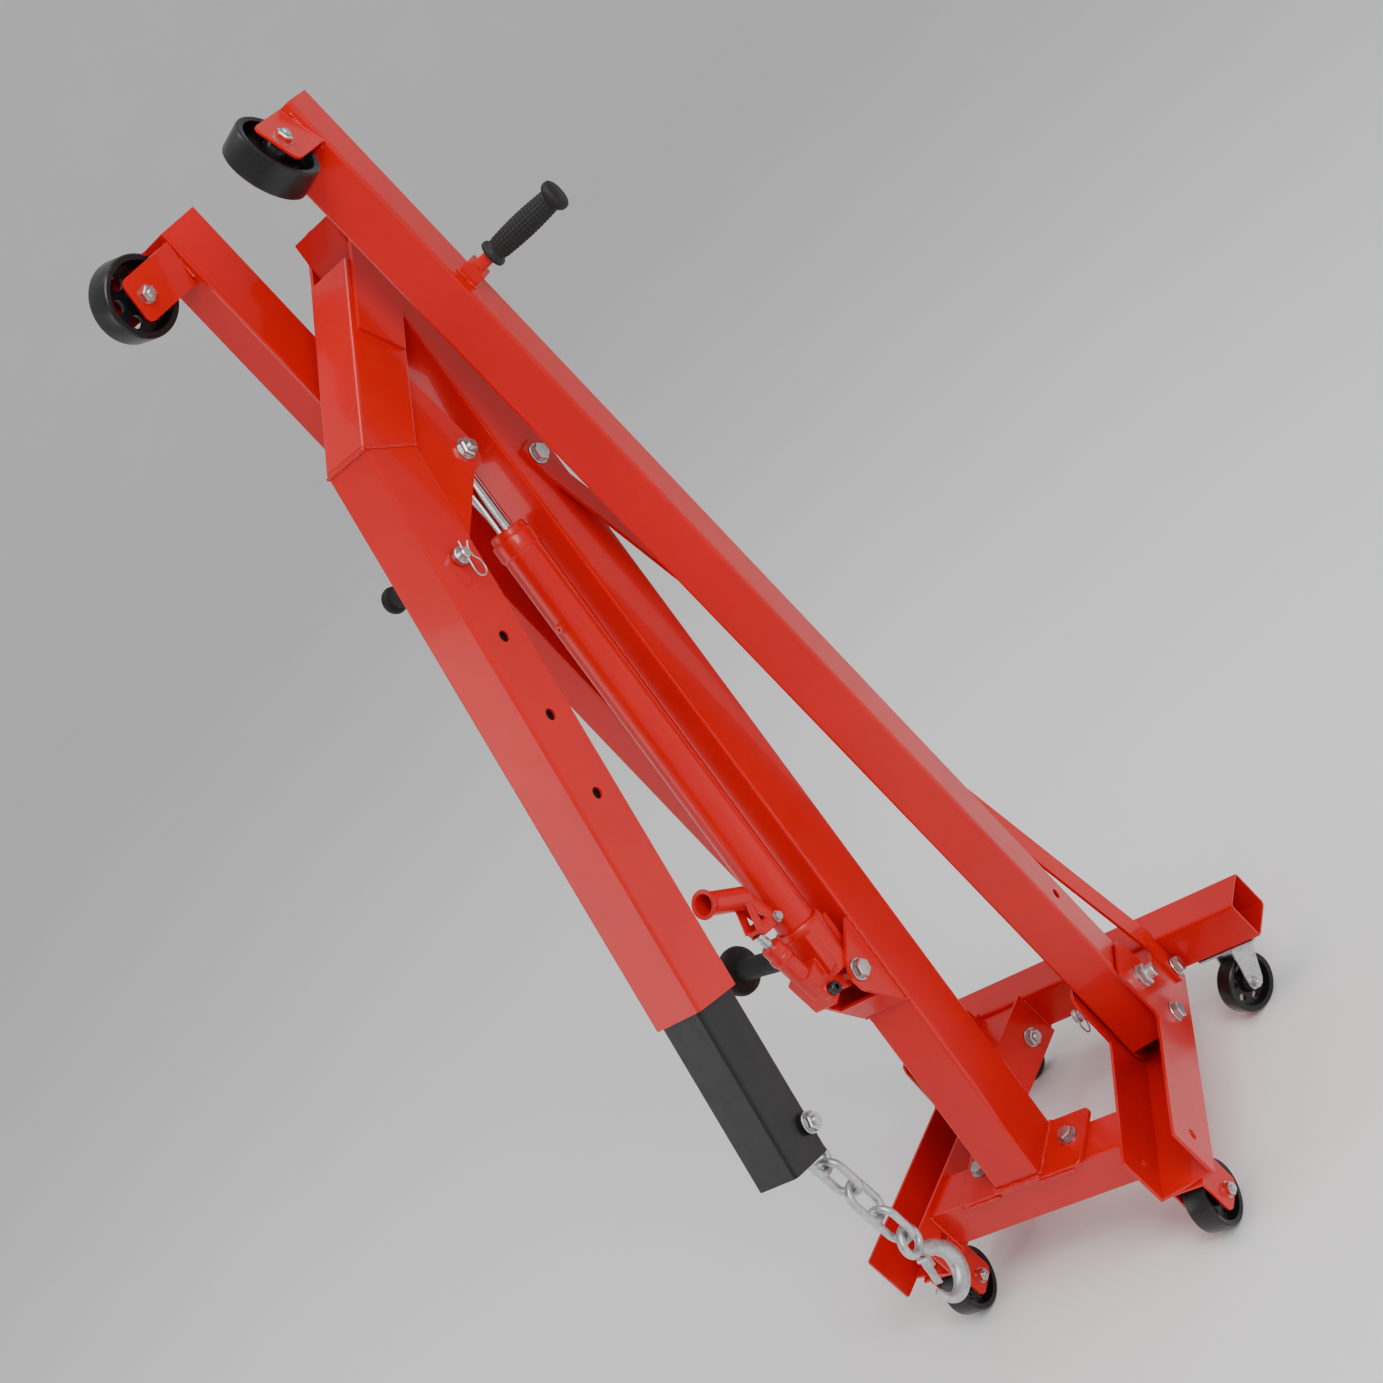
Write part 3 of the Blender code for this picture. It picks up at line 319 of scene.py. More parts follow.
def thread(radius, start, length, matrix, pitch=0.0015):
    profile = [(radius, start)]
    turns = int(length / pitch)
    for k in range(turns):
        profile += [(radius, start + k * pitch + pitch * 0.1), (radius - 0.0007, start + (k + 0.5) * pitch),
                    (radius, start + (k + 0.9) * pitch)]
    profile += [(radius - 0.0010, start + length), (0.0, start + length)]
    return turned(profile, matrix, 24)


def bolt(name, matrix, half_span, body, hides=None, radius=0.006, across=0.019, height=0.0075):
    """A bolt along local X: washers, a head at +X and a nut with a showing thread at -X."""
    parts = []
    for side in (1, -1):
        end = matrix @ (Matrix() if side > 0 else rot("Z", math.pi))
        washer = [(radius, half_span + 0.0004), (across * 0.66, half_span + 0.0004),
                  (across * 0.68, half_span + 0.0009), (across * 0.66, half_span + 0.0019),
                  (radius, half_span + 0.0019)]
        parts.append(turned(washer, end, 40))
        parts.append(hexagon(across, height, end @ at(half_span + 0.002, 0, 0) @ rot("X", 0.3)))
        if side < 0:
            parts.append(thread(radius * 0.92, half_span, height + 0.006, end))
    parts.append(turned([(radius, -half_span), (radius, half_span)], matrix, 24))
    made = place(name, from_parts(name, parts), ZINC, body, "zinc_plate", 25)
    if hides:
        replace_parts(made, hides)
    return made


def screw_head(name, matrix, body, across=0.016, height=0.006, radius=0.005, stud=0.004):
    """A hex head and washer standing on a face, with a short thread through the nut."""
    parts = [turned([(0.0, 0.0), (across * 0.66, 0.0), (across * 0.66, 0.0015), (0.0, 0.0015)], matrix, 40),
             hexagon(across, height, matrix @ at(0.0015, 0, 0))]
    if stud:
        parts.append(thread(radius * 0.9, 0.001, height + stud, matrix))
    return place(name, from_parts(name, parts), ZINC, body, "zinc_plate", 25)


def weld(name, points, body, radius=0.0026, seed=0.0):
    """A painted weld bead: overlapping ripples along a line."""
    points = [Vector(p) for p in points]
    fine, radii, step, ripple = [], [], 0.0011, 0.0042
    for a, b in zip(points, points[1:]):
        steps = max(4, int((b - a).length / step))
        for k in range(steps):
            spot = a.lerp(b, k / steps)
            phase = (len(fine) * step) / ripple + seed
            fine.append(spot + Vector((math.sin(phase * 2.3), math.cos(phase * 1.7), math.sin(phase))) * 0.0003)
            wave = 0.20 * abs(math.sin(math.pi * phase)) + 0.10 * math.sin(phase * 1.13)
            radii.append(radius * (0.86 + wave))
    fine.append(points[-1])
    radii.append(radius * 0.6)
    return place(name, from_parts(name, [swept(fine, radii, sides=10)]), RED_WELD, body, "red_paint", 60)


def refined(source, material, body, slot, width=0.0008, segments=2):
    """A finer copy of a CAD node: coplanar facets joined and every hard edge rounded."""
    mesh = frame["nodes"][source].data.copy()
    build = bmesh.new()
    build.from_mesh(mesh)
    bmesh.ops.remove_doubles(build, verts=build.verts, dist=2e-5)
    bmesh.ops.dissolve_limit(build, angle_limit=math.radians(0.6), verts=build.verts, edges=build.edges)
    build.to_mesh(mesh)
    build.free()
    for layer in list(mesh.uv_layers):
        mesh.uv_layers.remove(layer)
    if mesh.has_custom_normals:
        mesh.attributes.remove(mesh.attributes["custom_normal"])
    made = place("look_" + source, mesh, material, body, slot, 40)
    edge = made.modifiers.new("edges", "BEVEL")
    edge.width = width
    edge.segments = segments
    edge.limit_method = "ANGLE"
    edge.angle_limit = math.radians(40)
    edge.harden_normals = True
    edge.use_clamp_overlap = True
    flat = made.modifiers.new("flat", "WEIGHTED_NORMAL")
    flat.weight = 100
    flat.keep_sharp = True
    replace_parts(made, source)
    return made


def casting(name, parts, body, material=RED_CAST, slot="red_paint", voxel=0.0009, rounds=6):
    """Overlapping shapes melted together into one soft-cornered casting."""
    made = place(name, from_parts(name, parts), material, body, slot, 60)
    melt = made.modifiers.new("melt", "REMESH")
    melt.mode = "VOXEL"
    melt.voxel_size = voxel
    melt.use_smooth_shade = True
    soft = made.modifiers.new("soft", "SMOOTH")
    soft.factor = 0.6
    soft.iterations = rounds
    return made


def show(name, parts, material, body, slot, sharp, hides=None):
    """Builds a piece from parts and hides the CAD node that it stands for."""
    made = place(name, from_parts(name, parts), material, body, slot, sharp)
    if hides:
        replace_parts(made, hides)
    return made


def facing(side):
    """Turns local +X to the crane's right or left."""
    return rot("Z", 0 if side > 0 else math.pi)


# ---------------------------------------------------------------- plates and tubes

BODY = {member: body for body, members in frame["record"]["behaviour"]["bodies"].items() for member in members}
RED_NODES = ("rear_cross_tube", "front_cross_tube", "mast_foot", "mast", "ram_bracket", "boom",
             "leg_pocket_r", "leg_pocket_l", "leg_r", "leg_l", "brace_r", "brace_l",
             "leg_fork_r", "leg_fork_l", "front_fork_r", "front_fork_l")


def build_plates():
    for plate in RED_NODES:
        refined(plate, RED, BODY[plate], "red_paint")
    for bar in ("side_handle_r", "side_handle_l"):
        refined(bar, RED, BODY[bar], "red_paint", 0.0004)
    refined("boom_extension", BLACK, "extension", "black_paint", 0.0010)
    for plate in ("caster_plate_r", "caster_plate_l", "caster_fork_r", "caster_fork_l"):
        refined(plate, GALV, BODY[plate], "galvanised", 0.0005)


# ---------------------------------------------------------------- wheels

LEG_WHEEL_R, LEG_WHEEL_WIDTH = 0.047, 0.034
FRONT_WHEEL_R, FRONT_WHEEL_WIDTH, FRONT_WHEEL_Y = 0.040, 0.030, -0.2198
CASTER_WHEEL_R, CASTER_WHEEL_WIDTH, CASTER_X, CASTER_TRAIL = 0.0375, 0.024, 0.208, 0.028
CASTER_TURN = {1: math.radians(-26.0), -1: math.radians(110.0)}


def flat_disc(radius, thickness, holes, matrix, rim=64):
    """A disc about local X with oval holes (y, z, long, short, angle, points), from a filled outline."""
    curve = bpy.data.curves.new("disc", "CURVE")
    curve.dimensions = "2D"
    curve.fill_mode = "BOTH"
    curve.extrude = thickness / 2
    loops = [(0.0, 0.0, radius, radius, 0.0, rim)] + list(holes)
    for y, z, long, short, angle, count in loops:
        spline = curve.splines.new("POLY")
        spline.points.add(count - 1)
        for k in range(count):
            a, b = long * math.cos(TAU * k / count), short * math.sin(TAU * k / count)
            spline.points[k].co = (y + a * math.cos(angle) - b * math.sin(angle),
                                   z + a * math.sin(angle) + b * math.cos(angle), 0, 1)
        spline.use_cyclic_u = True
    carrier = bpy.data.objects.new("disc", curve)
    bpy.context.scene.collection.objects.link(carrier)
    bpy.context.view_layer.update()
    mesh = bpy.data.meshes.new_from_object(carrier)
    bpy.data.objects.remove(carrier)
    turn = matrix @ rot("Z", math.pi / 2) @ rot("X", math.pi / 2)
    verts = [turn @ v.co for v in mesh.vertices]
    return verts, [tuple(p.vertices) for p in mesh.polygons]


def wheel(name, source, matrix, radius, width, body, windows=6):
    """Cast wheel: crowned tread, thin web with oval windows, hub with a boss each side."""
    half, lip = width / 2, 0.0075
    tread = [(radius - lip, -half + 0.001), (radius - 0.0022, -half), (radius - 0.0006, -half + 0.0012),
             (radius, -half + 0.004), (radius, half - 0.004), (radius - 0.0006, half - 0.0012),
             (radius - 0.0022, half), (radius - lip, half - 0.001), (radius - lip - 0.0016, 0.006),
             (radius - lip - 0.0020, 0.0), (radius - lip - 0.0016, -0.006)]
    bore, hub = 0.0046, 0.0115
    boss = [(bore, -half - 0.0005), (hub - 0.001, -half - 0.0005), (hub, -half + 0.001),
            (hub + 0.002, -0.004), (hub + 0.002, 0.004), (hub, half - 0.001),
            (hub - 0.001, half + 0.0005), (bore, half + 0.0005)]
    mid, web = (hub + radius - lip) / 2, radius - lip - hub
    holes = []
    for k in range(windows):
        angle = TAU * (k + 0.3) / windows
        holes.append((mid * math.cos(angle), mid * math.sin(angle), web * 0.30, web * 0.26,
                      angle + math.pi / 2, 20))
    holes.append((0.0, 0.0, bore, bore, 0.0, 20))
    parts = [turned(tread, matrix, 96, True), turned(boss, matrix, 48, True),
             flat_disc(radius - lip + 0.0005, 0.0055, holes, matrix)]
    show(name, parts, WHEEL, body, "wheel_black", 40, source)


def axle_nuts(name, hub, reach, body, *sizes):
    """A nut on each end of a wheel's axle."""
    for end in (0, math.pi):
        screw_head(f"{name}_{int(end > 0)}", hub @ rot("Z", end) @ at(reach, 0, 0), body, *sizes)


def build_wheels():
    for side, tag, word in SIDES:
        hub = leg(side) @ at(0, -LEG_WHEEL_U, -LEG_WHEEL_N) @ rot("Z", -side * SPLAY)
        wheel("leg_wheel_look_" + tag, "leg_wheel_" + tag, hub, LEG_WHEEL_R, LEG_WHEEL_WIDTH,
              "leg_wheel_" + word)
        axle_nuts("leg_axle_nut_" + tag, hub, 0.0237, "leg_" + word, 0.016, 0.0065, 0.005, 0.0035)
        hub = pocket(side) @ at(0, FRONT_WHEEL_Y, FRONT_WHEEL_R - PIVOT_Z) @ rot("Z", -side * SPLAY)
        wheel("front_wheel_look_" + tag, "front_wheel_" + tag, hub, FRONT_WHEEL_R, FRONT_WHEEL_WIDTH,
              "front_wheel_" + word)
        axle_nuts("front_axle_nut_" + tag, hub, 0.0217, "base", 0.0145, 0.006, 0.0045, 0.003)
        swivel = WORLD @ at(side * CASTER_X, REAR_Y, 0) @ rot("Z", CASTER_TURN[side])
        hub = swivel @ at(0, -CASTER_TRAIL, CASTER_WHEEL_R)
        wheel("caster_wheel_look_" + tag, "caster_wheel_" + tag, hub, CASTER_WHEEL_R, CASTER_WHEEL_WIDTH,
              "caster_wheel_" + word)
        axle_nuts("caster_axle_nut_" + tag, hub, 0.0173, "caster_" + word, 0.0125, 0.005, 0.004, 0.003)
        race = [(0.008, 0.0790), (0.021, 0.0790), (0.0245, 0.0815), (0.0250, 0.0865), (0.0235, 0.0898),
                (0.008, 0.0898)]
        show("caster_race_" + tag, [turned(race, swivel @ rot("Y", -math.pi / 2), 64, True)], GALV,
             "caster_" + word, "galvanised", 50)


# ---------------------------------------------------------------- bolts

def ram_foot_in_mast():
    """The ram's foot bolt in the mast's own axes."""
    return mast().inverted() @ (WORLD @ Vector((0, *RAM_FOOT)))


def build_bolts():
    for side, tag, word in SIDES:
        bolt("pivot_bolt_look_" + tag, pocket(side) @ facing(side), POCKET_HALF, "base",
             "leg_pivot_bolt_" + tag)
        bolt("brace_bolt_look_" + tag, pocket(side) @ at(side * 0.0028, 0.091, -0.0055) @ facing(side),
             POCKET_HALF + 0.0028, "base", "brace_bolt_" + tag)
        top = WORLD @ at(side * 0.066, -0.175, 0.1603) @ rot("Y", -math.pi / 2)
        show("foot_bolt_look_" + tag,
             [turned([(0.0, 0.0003), (0.0125, 0.0003), (0.0125, 0.002), (0.0, 0.002)], top, 40),
              hexagon(0.018, 0.008, top @ at(0.002, 0, 0))], ZINC, "base", "zinc_plate", 25, "foot_bolt_" + tag)
        end = WORLD @ at(side * 0.0211, *RAM_HEAD) @ facing(side)
        show("ram_head_look_" + tag,
             [turned([(0.0, 0.0), (0.0130, 0.0), (0.0130, 0.0018), (0.0, 0.0018)], end, 40),
              hexagon(0.020, 0.0078, end @ at(0.0018, 0, 0)),
              turned([(0.006, -0.005), (0.006, 0.001)], end, 24), thread(0.0055, 0.002, 0.0125, end)],
             ZINC, "boom", "zinc_plate", 25, "ram_head_bolt_" + tag)
    bolt("brace_top_look", WORLD @ at(0, 0.081, 1.1205), MAST_HALF + 0.0053, "base", "brace_bolt_top")
    bolt("boom_pivot_look", WORLD @ at(0, *BOOM_PIVOT), BOOM_HALF + 0.0047, "base", "boom_pivot_bolt",
         0.008, 0.024, 0.009)
    foot = ram_foot_in_mast()
    bolt("ram_foot_look", mast() @ at(0, foot.y, foot.z), MAST_HALF, "base", "ram_foot_bolt",
         0.006, 0.020, 0.008)


# ---------------------------------------------------------------- grips and buffer

def ribs(x, angle):
    """Twenty flutes crossed by fine rings along the grip's middle."""
    if not 0.046 < x < 0.122:
        return 0.0
    return 0.00045 * math.cos(20 * angle) + 0.00040 * math.cos(TAU * (x - 0.04) / 0.0045)


def grip_profile():
    rows = [(0.0079, 0.0342), (0.0135, 0.0342), (0.0152, 0.0350), (0.0156, 0.0372), (0.0150, 0.0396),
            (0.0128, 0.0412), (0.0120, 0.0440)]
    rows += [(0.0122 + 0.0016 * math.sin(math.pi * k / 60), 0.046 + 0.076 * k / 60) for k in range(61)]
    return rows + [(0.0122, 0.1235), (0.0150, 0.1250), (0.0170, 0.1275), (0.0175, 0.1310), (0.0168, 0.1340),
                   (0.0150, 0.1356), (0.0, 0.1360)]


# side, tag, distance along the leg, distance forward of its middle
HANDLES = ((1, "r", 1.198, 0.0), (-1, "l", 0.964, 0.0139))


def build_grips():
    for side, tag, along, forward in HANDLES:
        base = leg(side) @ at(side * 0.0303, -along, -forward) @ facing(side)
        show("grip_look_" + tag, [turned(grip_profile(), base, 120, shape=ribs)], RUBBER,
             BODY["side_grip_" + tag], "rubber", 60, "side_grip_" + tag)
    base = leg(-1) @ at(-0.0303, -0.2935, -0.006) @ facing(-1)
    rows = [(0.0155, 0.0), (0.0155, 0.002), (0.0150, 0.006), (0.0148, 0.150), (0.0155, 0.156),
            (0.0290, 0.1585), (0.0322, 0.1610), (0.0335, 0.1660), (0.0325, 0.1715), (0.0300, 0.1755),
            (0.0240, 0.1795), (0.0120, 0.1822), (0.0, 0.1830)]
    show("buffer_look", [turned(rows, base, 96)], RUBBER, "leg_left", "rubber", 50, "side_buffer")


# ---------------------------------------------------------------- boom pin, chain and hook

BOOM_ALONG = (Vector(BOOM_END) - Vector(BOOM_BEND)).normalized()
PIN_TRAVEL = (Vector((-0.158, 1.145)) - Vector(BOOM_BEND)).dot(BOOM_ALONG)
CHAIN_BOLT_Y, CHAIN_BOLT_UP = 0.0235, 0.036
WIRE, LINK_HALF, FIRST_LINK, LINK = 0.0046, 0.0145, 0.0664, 0.0424
SLACK = 0.0003


def reach():
    """The reach pin's place on the boom, with Z up the boom."""
    hole = Vector(BOOM_BEND) + BOOM_ALONG * PIN_TRAVEL
    return WORLD @ at(0, *hole) @ tilt(-BOOM_ALONG)


def chain_bolt():
    length = (Vector(EXT_END) - Vector(BOOM_BEND)).dot(BOOM_ALONG) - PIN_TRAVEL
    return reach() @ at(0, CHAIN_BOLT_Y, CHAIN_BOLT_UP - length)


def build_reach_pin():
    rows = [(0.0062, 0.0290), (0.0062, 0.0344), (0.0098, 0.0348), (0.0102, 0.0356), (0.0102, 0.0418),
            (0.0094, 0.0428), (0.0062, 0.0430), (0.0062, 0.0488), (0.0050, 0.0500), (0.0, 0.0502)]
    show("reach_pin_look", [turned(rows, reach(), 48)], ZINC, "reach_pin", "zinc_plate", 30, "reach_pin")
    x = 0.0463
    clip = [(x, 0, 0.014), (x, 0, -0.019)]
    for k in range(13):
        angle = math.radians(180 + 200 * k / 12)
        clip.append((x, 0.0085 + 0.0085 * math.cos(angle), -0.021 + 0.0085 * math.sin(angle)))
    clip += [(x, 0.0150, -0.012), (x, 0.0088, -0.0062), (x, 0.0078, 0.0), (x, 0.0088, 0.005),
             (x, 0.0130, 0.0110)]
    clip = [reach() @ Vector(p) for p in clip]
    show("pin_clip_look", [swept(clip, 0.0012, sides=12)], ZINC, "pin_clip", "zinc_plate", 60, "pin_clip")


def link_points(inner):
    """The wire's centre line round one link that hangs in the YZ plane."""
    top = WIRE - LINK_HALF
    bottom = top - (inner + 2 * WIRE - 2 * LINK_HALF)
    points = []
    for middle, start in ((top, 0), (bottom, 1)):
        for k in range(17):
            angle = math.pi * (start + k / 16)
            points.append((0, LINK_HALF * math.cos(angle), middle + LINK_HALF * math.sin(angle)))
    return points


def build_chain():
    """The four links below the chain bolt; returns where the hook's eye hangs."""
    bolt("chain_bolt_look", chain_bolt() @ rot("Z", math.pi), 0.0285 + 0.004, "extension", "chain_bolt",
         0.006, 0.019, 0.0075)
    spot = chain_bolt().translation
    z = spot.z + 0.006 + SLACK
    for k in range(4):
        inner = FIRST_LINK if k == 0 else LINK
        turn = at(spot.x, spot.y, z) @ rot("Z", 0 if k % 2 == 0 else math.pi / 2)
        points = [turn @ Vector(p) for p in link_points(inner + SLACK)]
        show(f"link_look_{k + 1}", [swept(points, WIRE, True, 20)], GALV, f"link_{k + 1}", "galvanised", 60,
             f"chain_link_{k + 1}")
        z -= inner
    return Vector((spot.x, spot.y, z - 0.0100))


def build_hook(eye):
    """Forged hook: a round eye, a shank that thickens, a bowl that thins to its point, and a latch."""
    turn, eye_z, eye_r, bowl_r = at(eye.x, eye.y, 0), eye.z, 0.0150, 0.0270
    bowl_z = eye_z - 0.0585
    ring = []
    for k in range(40):
        angle = TAU * k / 40
        ring.append(turn @ Vector((0, eye_r * math.sin(angle), eye_z + eye_r * math.cos(angle))))
    spine = [(0.0005, eye_z - 0.0140, 0.0060), (0.0020, eye_z - 0.0170, 0.0072),
             (0.0050, eye_z - 0.0210, 0.0080), (0.0095, eye_z - 0.0260, 0.0086),
             (0.0150, eye_z - 0.0315, 0.0090), (0.0195, eye_z - 0.0370, 0.0093)]
    for k in range(33):
        part = k / 32
        angle = math.radians(38 - 218 * part)
        spine.append((bowl_r * math.cos(angle), bowl_z + bowl_r * math.sin(angle),
                      0.0094 + 0.0032 * math.sin(math.pi * min(1, part * 1.25)) - 0.0048 * part ** 2))
    spine.append((-0.0290, bowl_z + 0.0060, 0.0036))
    points = [turn @ Vector((0, y, h)) for y, h, r in spine]
    parts = [swept(ring, 0.0052, True, 20), swept(points, [r for y, h, r in spine], False, 24, 0.72, (1, 0, 0))]
    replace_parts(casting("hook_look", parts, "hook", GALV, "galvanised", 0.0007, 3), "hook")
    tip, top = Vector((-0.0180, bowl_z + 0.0050)), Vector((-0.0070, eye_z - 0.0245))
    strap = turn @ at(0, (tip.x + top.x) / 2, (tip.y + top.y) / 2) @ tilt(top - tip)
    parts = [boxed((0.0105, 0.0016, (top - tip).length), strap)]
    parts += [boxed((0.0016, 0.0070, 0.012), strap @ at(s * 0.0050, 0.0025, 0.010)) for s in (1, -1)]
    parts.append(turned([(0.0, -0.0075), (0.0030, -0.0075), (0.0030, 0.0075), (0.0, 0.0075)],
                        turn @ at(0, *top), 24))
    show("latch_look", parts, ZINC, "hook_latch", "zinc_plate", 30, "hook_latch")


# ---------------------------------------------------------------- hydraulic ram and pump

UP = rot("Y", -math.pi / 2)


def pump_axis():
    return WORLD @ at(0, PUMP_Y, RAM_FOOT[1])


def build_ram():
    upright = ram() @ UP
    span = (Vector(RAM_HEAD) - Vector(RAM_FOOT)).length
    rows = [(0.0, 0.030), (0.0240, 0.030), (0.0240, 0.596), (0.0243, 0.5975), (0.0256, 0.5990),
            (0.0258, 0.6010), (0.0258, 0.6160), (0.0252, 0.6180), (0.0236, 0.6200), (0.0225, 0.6205),
            (0.0222, 0.6265), (0.0205, 0.6285), (0.0150, 0.6290), (0.0112, 0.6290), (0.0112, 0.62)]
    show("ram_barrel_look", [turned(rows, upright, 96)], RED, "ram_cylinder", "red_paint", 30, "ram_cylinder")
    shaft = [(0.0, 0.11), (0.0105, 0.11), (0.0105, span - 0.014)]
    eye = [(0.0105, -0.013), (0.0150, -0.013), (0.0155, -0.0122), (0.0155, 0.0122), (0.0150, 0.013),
           (0.0105, 0.013)]
    show("ram_rod_look", [turned(shaft, upright, 64), turned(eye, ram() @ at(0, 0, span), 64, True)],
         CHROME, "ram_rod", "chrome", 30, "ram_rod")
    screw = [(0.0, 0.0), (0.0065, 0.0), (0.0065, 0.0012), (0.0050, 0.0020), (0.0050, 0.0052),
             (0.0040, 0.0060), (0.0016, 0.0060), (0.0014, 0.0040), (0.0, 0.0040)]
    show("fill_screw", [turned(screw, ram() @ at(0, -0.0235, 0.505) @ rot("Z", -math.pi / 2), 32)],
         RED_WELD, "ram_cylinder", "red_paint", 30)


def build_ram_base():
    """The cast base: cylinder block, foot lug, pump barrel, release boss and lever lug."""
    upright, rise, pivot = ram() @ UP, pump_axis(), WORLD @ at(0, *LEVER_PIVOT)
    parts = [boxed((0.050, 0.056, 0.050), ram() @ at(0, -0.003, 0.046)),
             turned([(0.0, 0.012), (0.0285, 0.012), (0.0285, 0.074), (0.0, 0.074)], upright, 48),
             boxed((0.032, 0.026, 0.030), ram() @ at(0, 0, 0.008)),
             turned([(0.0, -0.016), (0.013, -0.016), (0.013, 0.016), (0.0, 0.016)], ram(), 32),
             boxed((0.034, 0.040, 0.048), rise @ at(0, 0.008, 0.026)),
             turned([(0.0, 0.020), (0.0128, 0.020), (0.0128, 0.0985), (0.0118, 0.101), (0.0, 0.101)],
                    rise @ UP, 40),
             turned([(0.0, 0.078), (0.0145, 0.078), (0.0145, 0.086), (0.0, 0.086)], rise @ UP, 40),
             turned([(0.0, 0.010), (0.0095, 0.010), (0.0095, 0.0195), (0.0, 0.0195)],
                    rise @ at(0, -0.004, 0.018), 32),
             boxed((0.008, 0.036, 0.018), pivot @ at(0, 0.014, 0)),
             turned([(0.0, -0.0045), (0.0095, -0.0045), (0.0095, 0.0045), (0.0, 0.0045)], pivot, 32)]
    casting("ram_base_look", parts, "ram_cylinder")
    collar = [(0.0245, 0.066), (0.0290, 0.066), (0.0300, 0.068), (0.0300, 0.078), (0.0290, 0.080),
              (0.0245, 0.080)]
    show("base_collar", [turned(collar, upright, 72, True)], RED_CAST, "ram_cylinder", "red_paint", 40)


def build_lever():
    """The lever's socket with its rolled mouth, its two arms, the plunger and the axle."""
    root, mouth, pin = Vector((-0.188, 0.648)), Vector((-0.235, 0.689)), Vector(LEVER_PIN)
    sleeve = WORLD @ at(0, *root) @ tilt((mouth - root).normalized()) @ UP
    run = (mouth - root).length
    rows = [(0.0136, -0.004), (0.0136, run - 0.010), (0.0142, run - 0.006), (0.0165, run - 0.002),
            (0.0170, run), (0.0164, run + 0.0014), (0.0120, run + 0.0008), (0.0110, run - 0.002),
            (0.0108, 0.004), (0.0, 0.004), (0.0, -0.002), (0.0110, -0.004)]
    show("socket_look", [turned(rows, sleeve, 72)], RED_CAST, "lever_socket", "red_paint", 50, "lever_socket")
    parts = []
    for s in (1, -1):
        low = WORLD @ Vector((s * 0.0088, *LEVER_PIVOT))
        high = WORLD @ Vector((s * 0.0088, root.x, root.y - 0.002))
        out = WORLD @ Vector((s * 0.0088, pin.x, pin.y))
        for a, b, r in ((low, high, 0.0085), (high, out, 0.0075), (out, low, 0.0080)):
            parts.append(swept([a.lerp(b, k / 8) for k in range(9)], r, False, 16, 0.26, (1, 0, 0)))
    parts.append(swept([WORLD @ Vector((s * 0.009, pin.x, pin.y)) for s in (-1, 1)], 0.0033))
    casting("lever_arm_look", parts, "lever_socket", voxel=0.0008, rounds=3)
    rows = [(0.0, 0.058), (0.0057, 0.058), (0.0057, 0.110), (0.0048, 0.111), (0.0048, 0.114),
            (0.0057, 0.115), (0.0057, 0.1200), (0.0, 0.1205)]
    show("plunger_look", [turned(rows, pump_axis() @ UP, 40)], ZINC, "pump_plunger", "zinc_plate", 30,
         "pump_plunger")
    bolt("lever_axle_look", WORLD @ at(0, *LEVER_PIVOT), 0.0110, "ram_cylinder", "lever_axle",
         0.0033, 0.010, 0.004)


def build_valve():
    rows = [(0.0, 0.0108), (0.0048, 0.0108), (0.0048, 0.0196), (0.0075, 0.0200), (0.0078, 0.0210),
            (0.0078, 0.0276), (0.0070, 0.0286), (0.0034, 0.0286), (0.0034, 0.0240), (0.0, 0.0240)]
    show("valve_look", [turned(rows, pump_axis() @ at(0, -0.004, 0.018), 40)], BLACK, "release_valve",
         "zinc_plate", 30, "release_valve")


# ---------------------------------------------------------------- lock pins

def build_lock_pins():
    """A pull pin with its ring on each pocket's inner side, and its nut on the outer side."""
    for side, tag, word in SIDES:
        inner = pocket(side) @ at(0, 0.004, UPRIGHT_U) @ facing(-side)
        rows = [(0.0058, 0.0312), (0.0058, 0.0364), (0.0105, 0.0366), (0.0108, 0.0376), (0.0108, 0.0420),
                (0.0075, 0.0430), (0.0062, 0.0440), (0.0062, 0.0570), (0.0085, 0.0575), (0.0088, 0.0585),
                (0.0088, 0.0625), (0.0078, 0.0635), (0.0, 0.0636)]
        loop = []
        for k in range(40):
            angle = TAU * k / 40
            loop.append(inner @ Vector((0.0605, 0.0120 * math.sin(angle), -0.0125 + 0.0120 * math.cos(angle))))
        show("lock_pin_look_" + tag, [turned(rows, inner, 40), swept(loop, 0.0012, True, 12)], ZINC,
             "lock_pin_" + word, "zinc_plate", 35, "lock_pin_" + tag)
        outer = pocket(side) @ at(side * (POCKET_HALF + 0.0003), 0.004, UPRIGHT_U) @ facing(side)
        parts = [hexagon(0.024, 0.010, outer),
                 turned([(0.0, 0.009), (0.0085, 0.009), (0.0085, 0.018), (0.0075, 0.0195), (0.0, 0.0195)],
                        outer, 40),
                 turned([(0.0, 0.0), (0.0145, 0.0), (0.0145, 0.002), (0.0, 0.002)], outer, 40)]
        show("lock_head_" + tag, parts, ZINC, "base", "zinc_plate", 25)


# ---------------------------------------------------------------- weld beads

CORNER_FRONT, CORNER_REAR = (-0.1117, 1.2809), (-0.0497, 1.2394)
FOOT_Z = 0.1609


def weld_boom():
    for s in (1, -1):
        x = s * (BOOM_HALF + 0.0002)
        weld(f"bend_side_{s + 1}", [WORLD @ Vector((x, *CORNER_FRONT)), WORLD @ Vector((x, *CORNER_REAR))],
             "boom", 0.0022)
    weld("bend_front", [WORLD @ Vector((-BOOM_HALF + 0.003, *CORNER_FRONT)),
                        WORLD @ Vector((BOOM_HALF - 0.001, *CORNER_FRONT))], "boom", 0.0028)


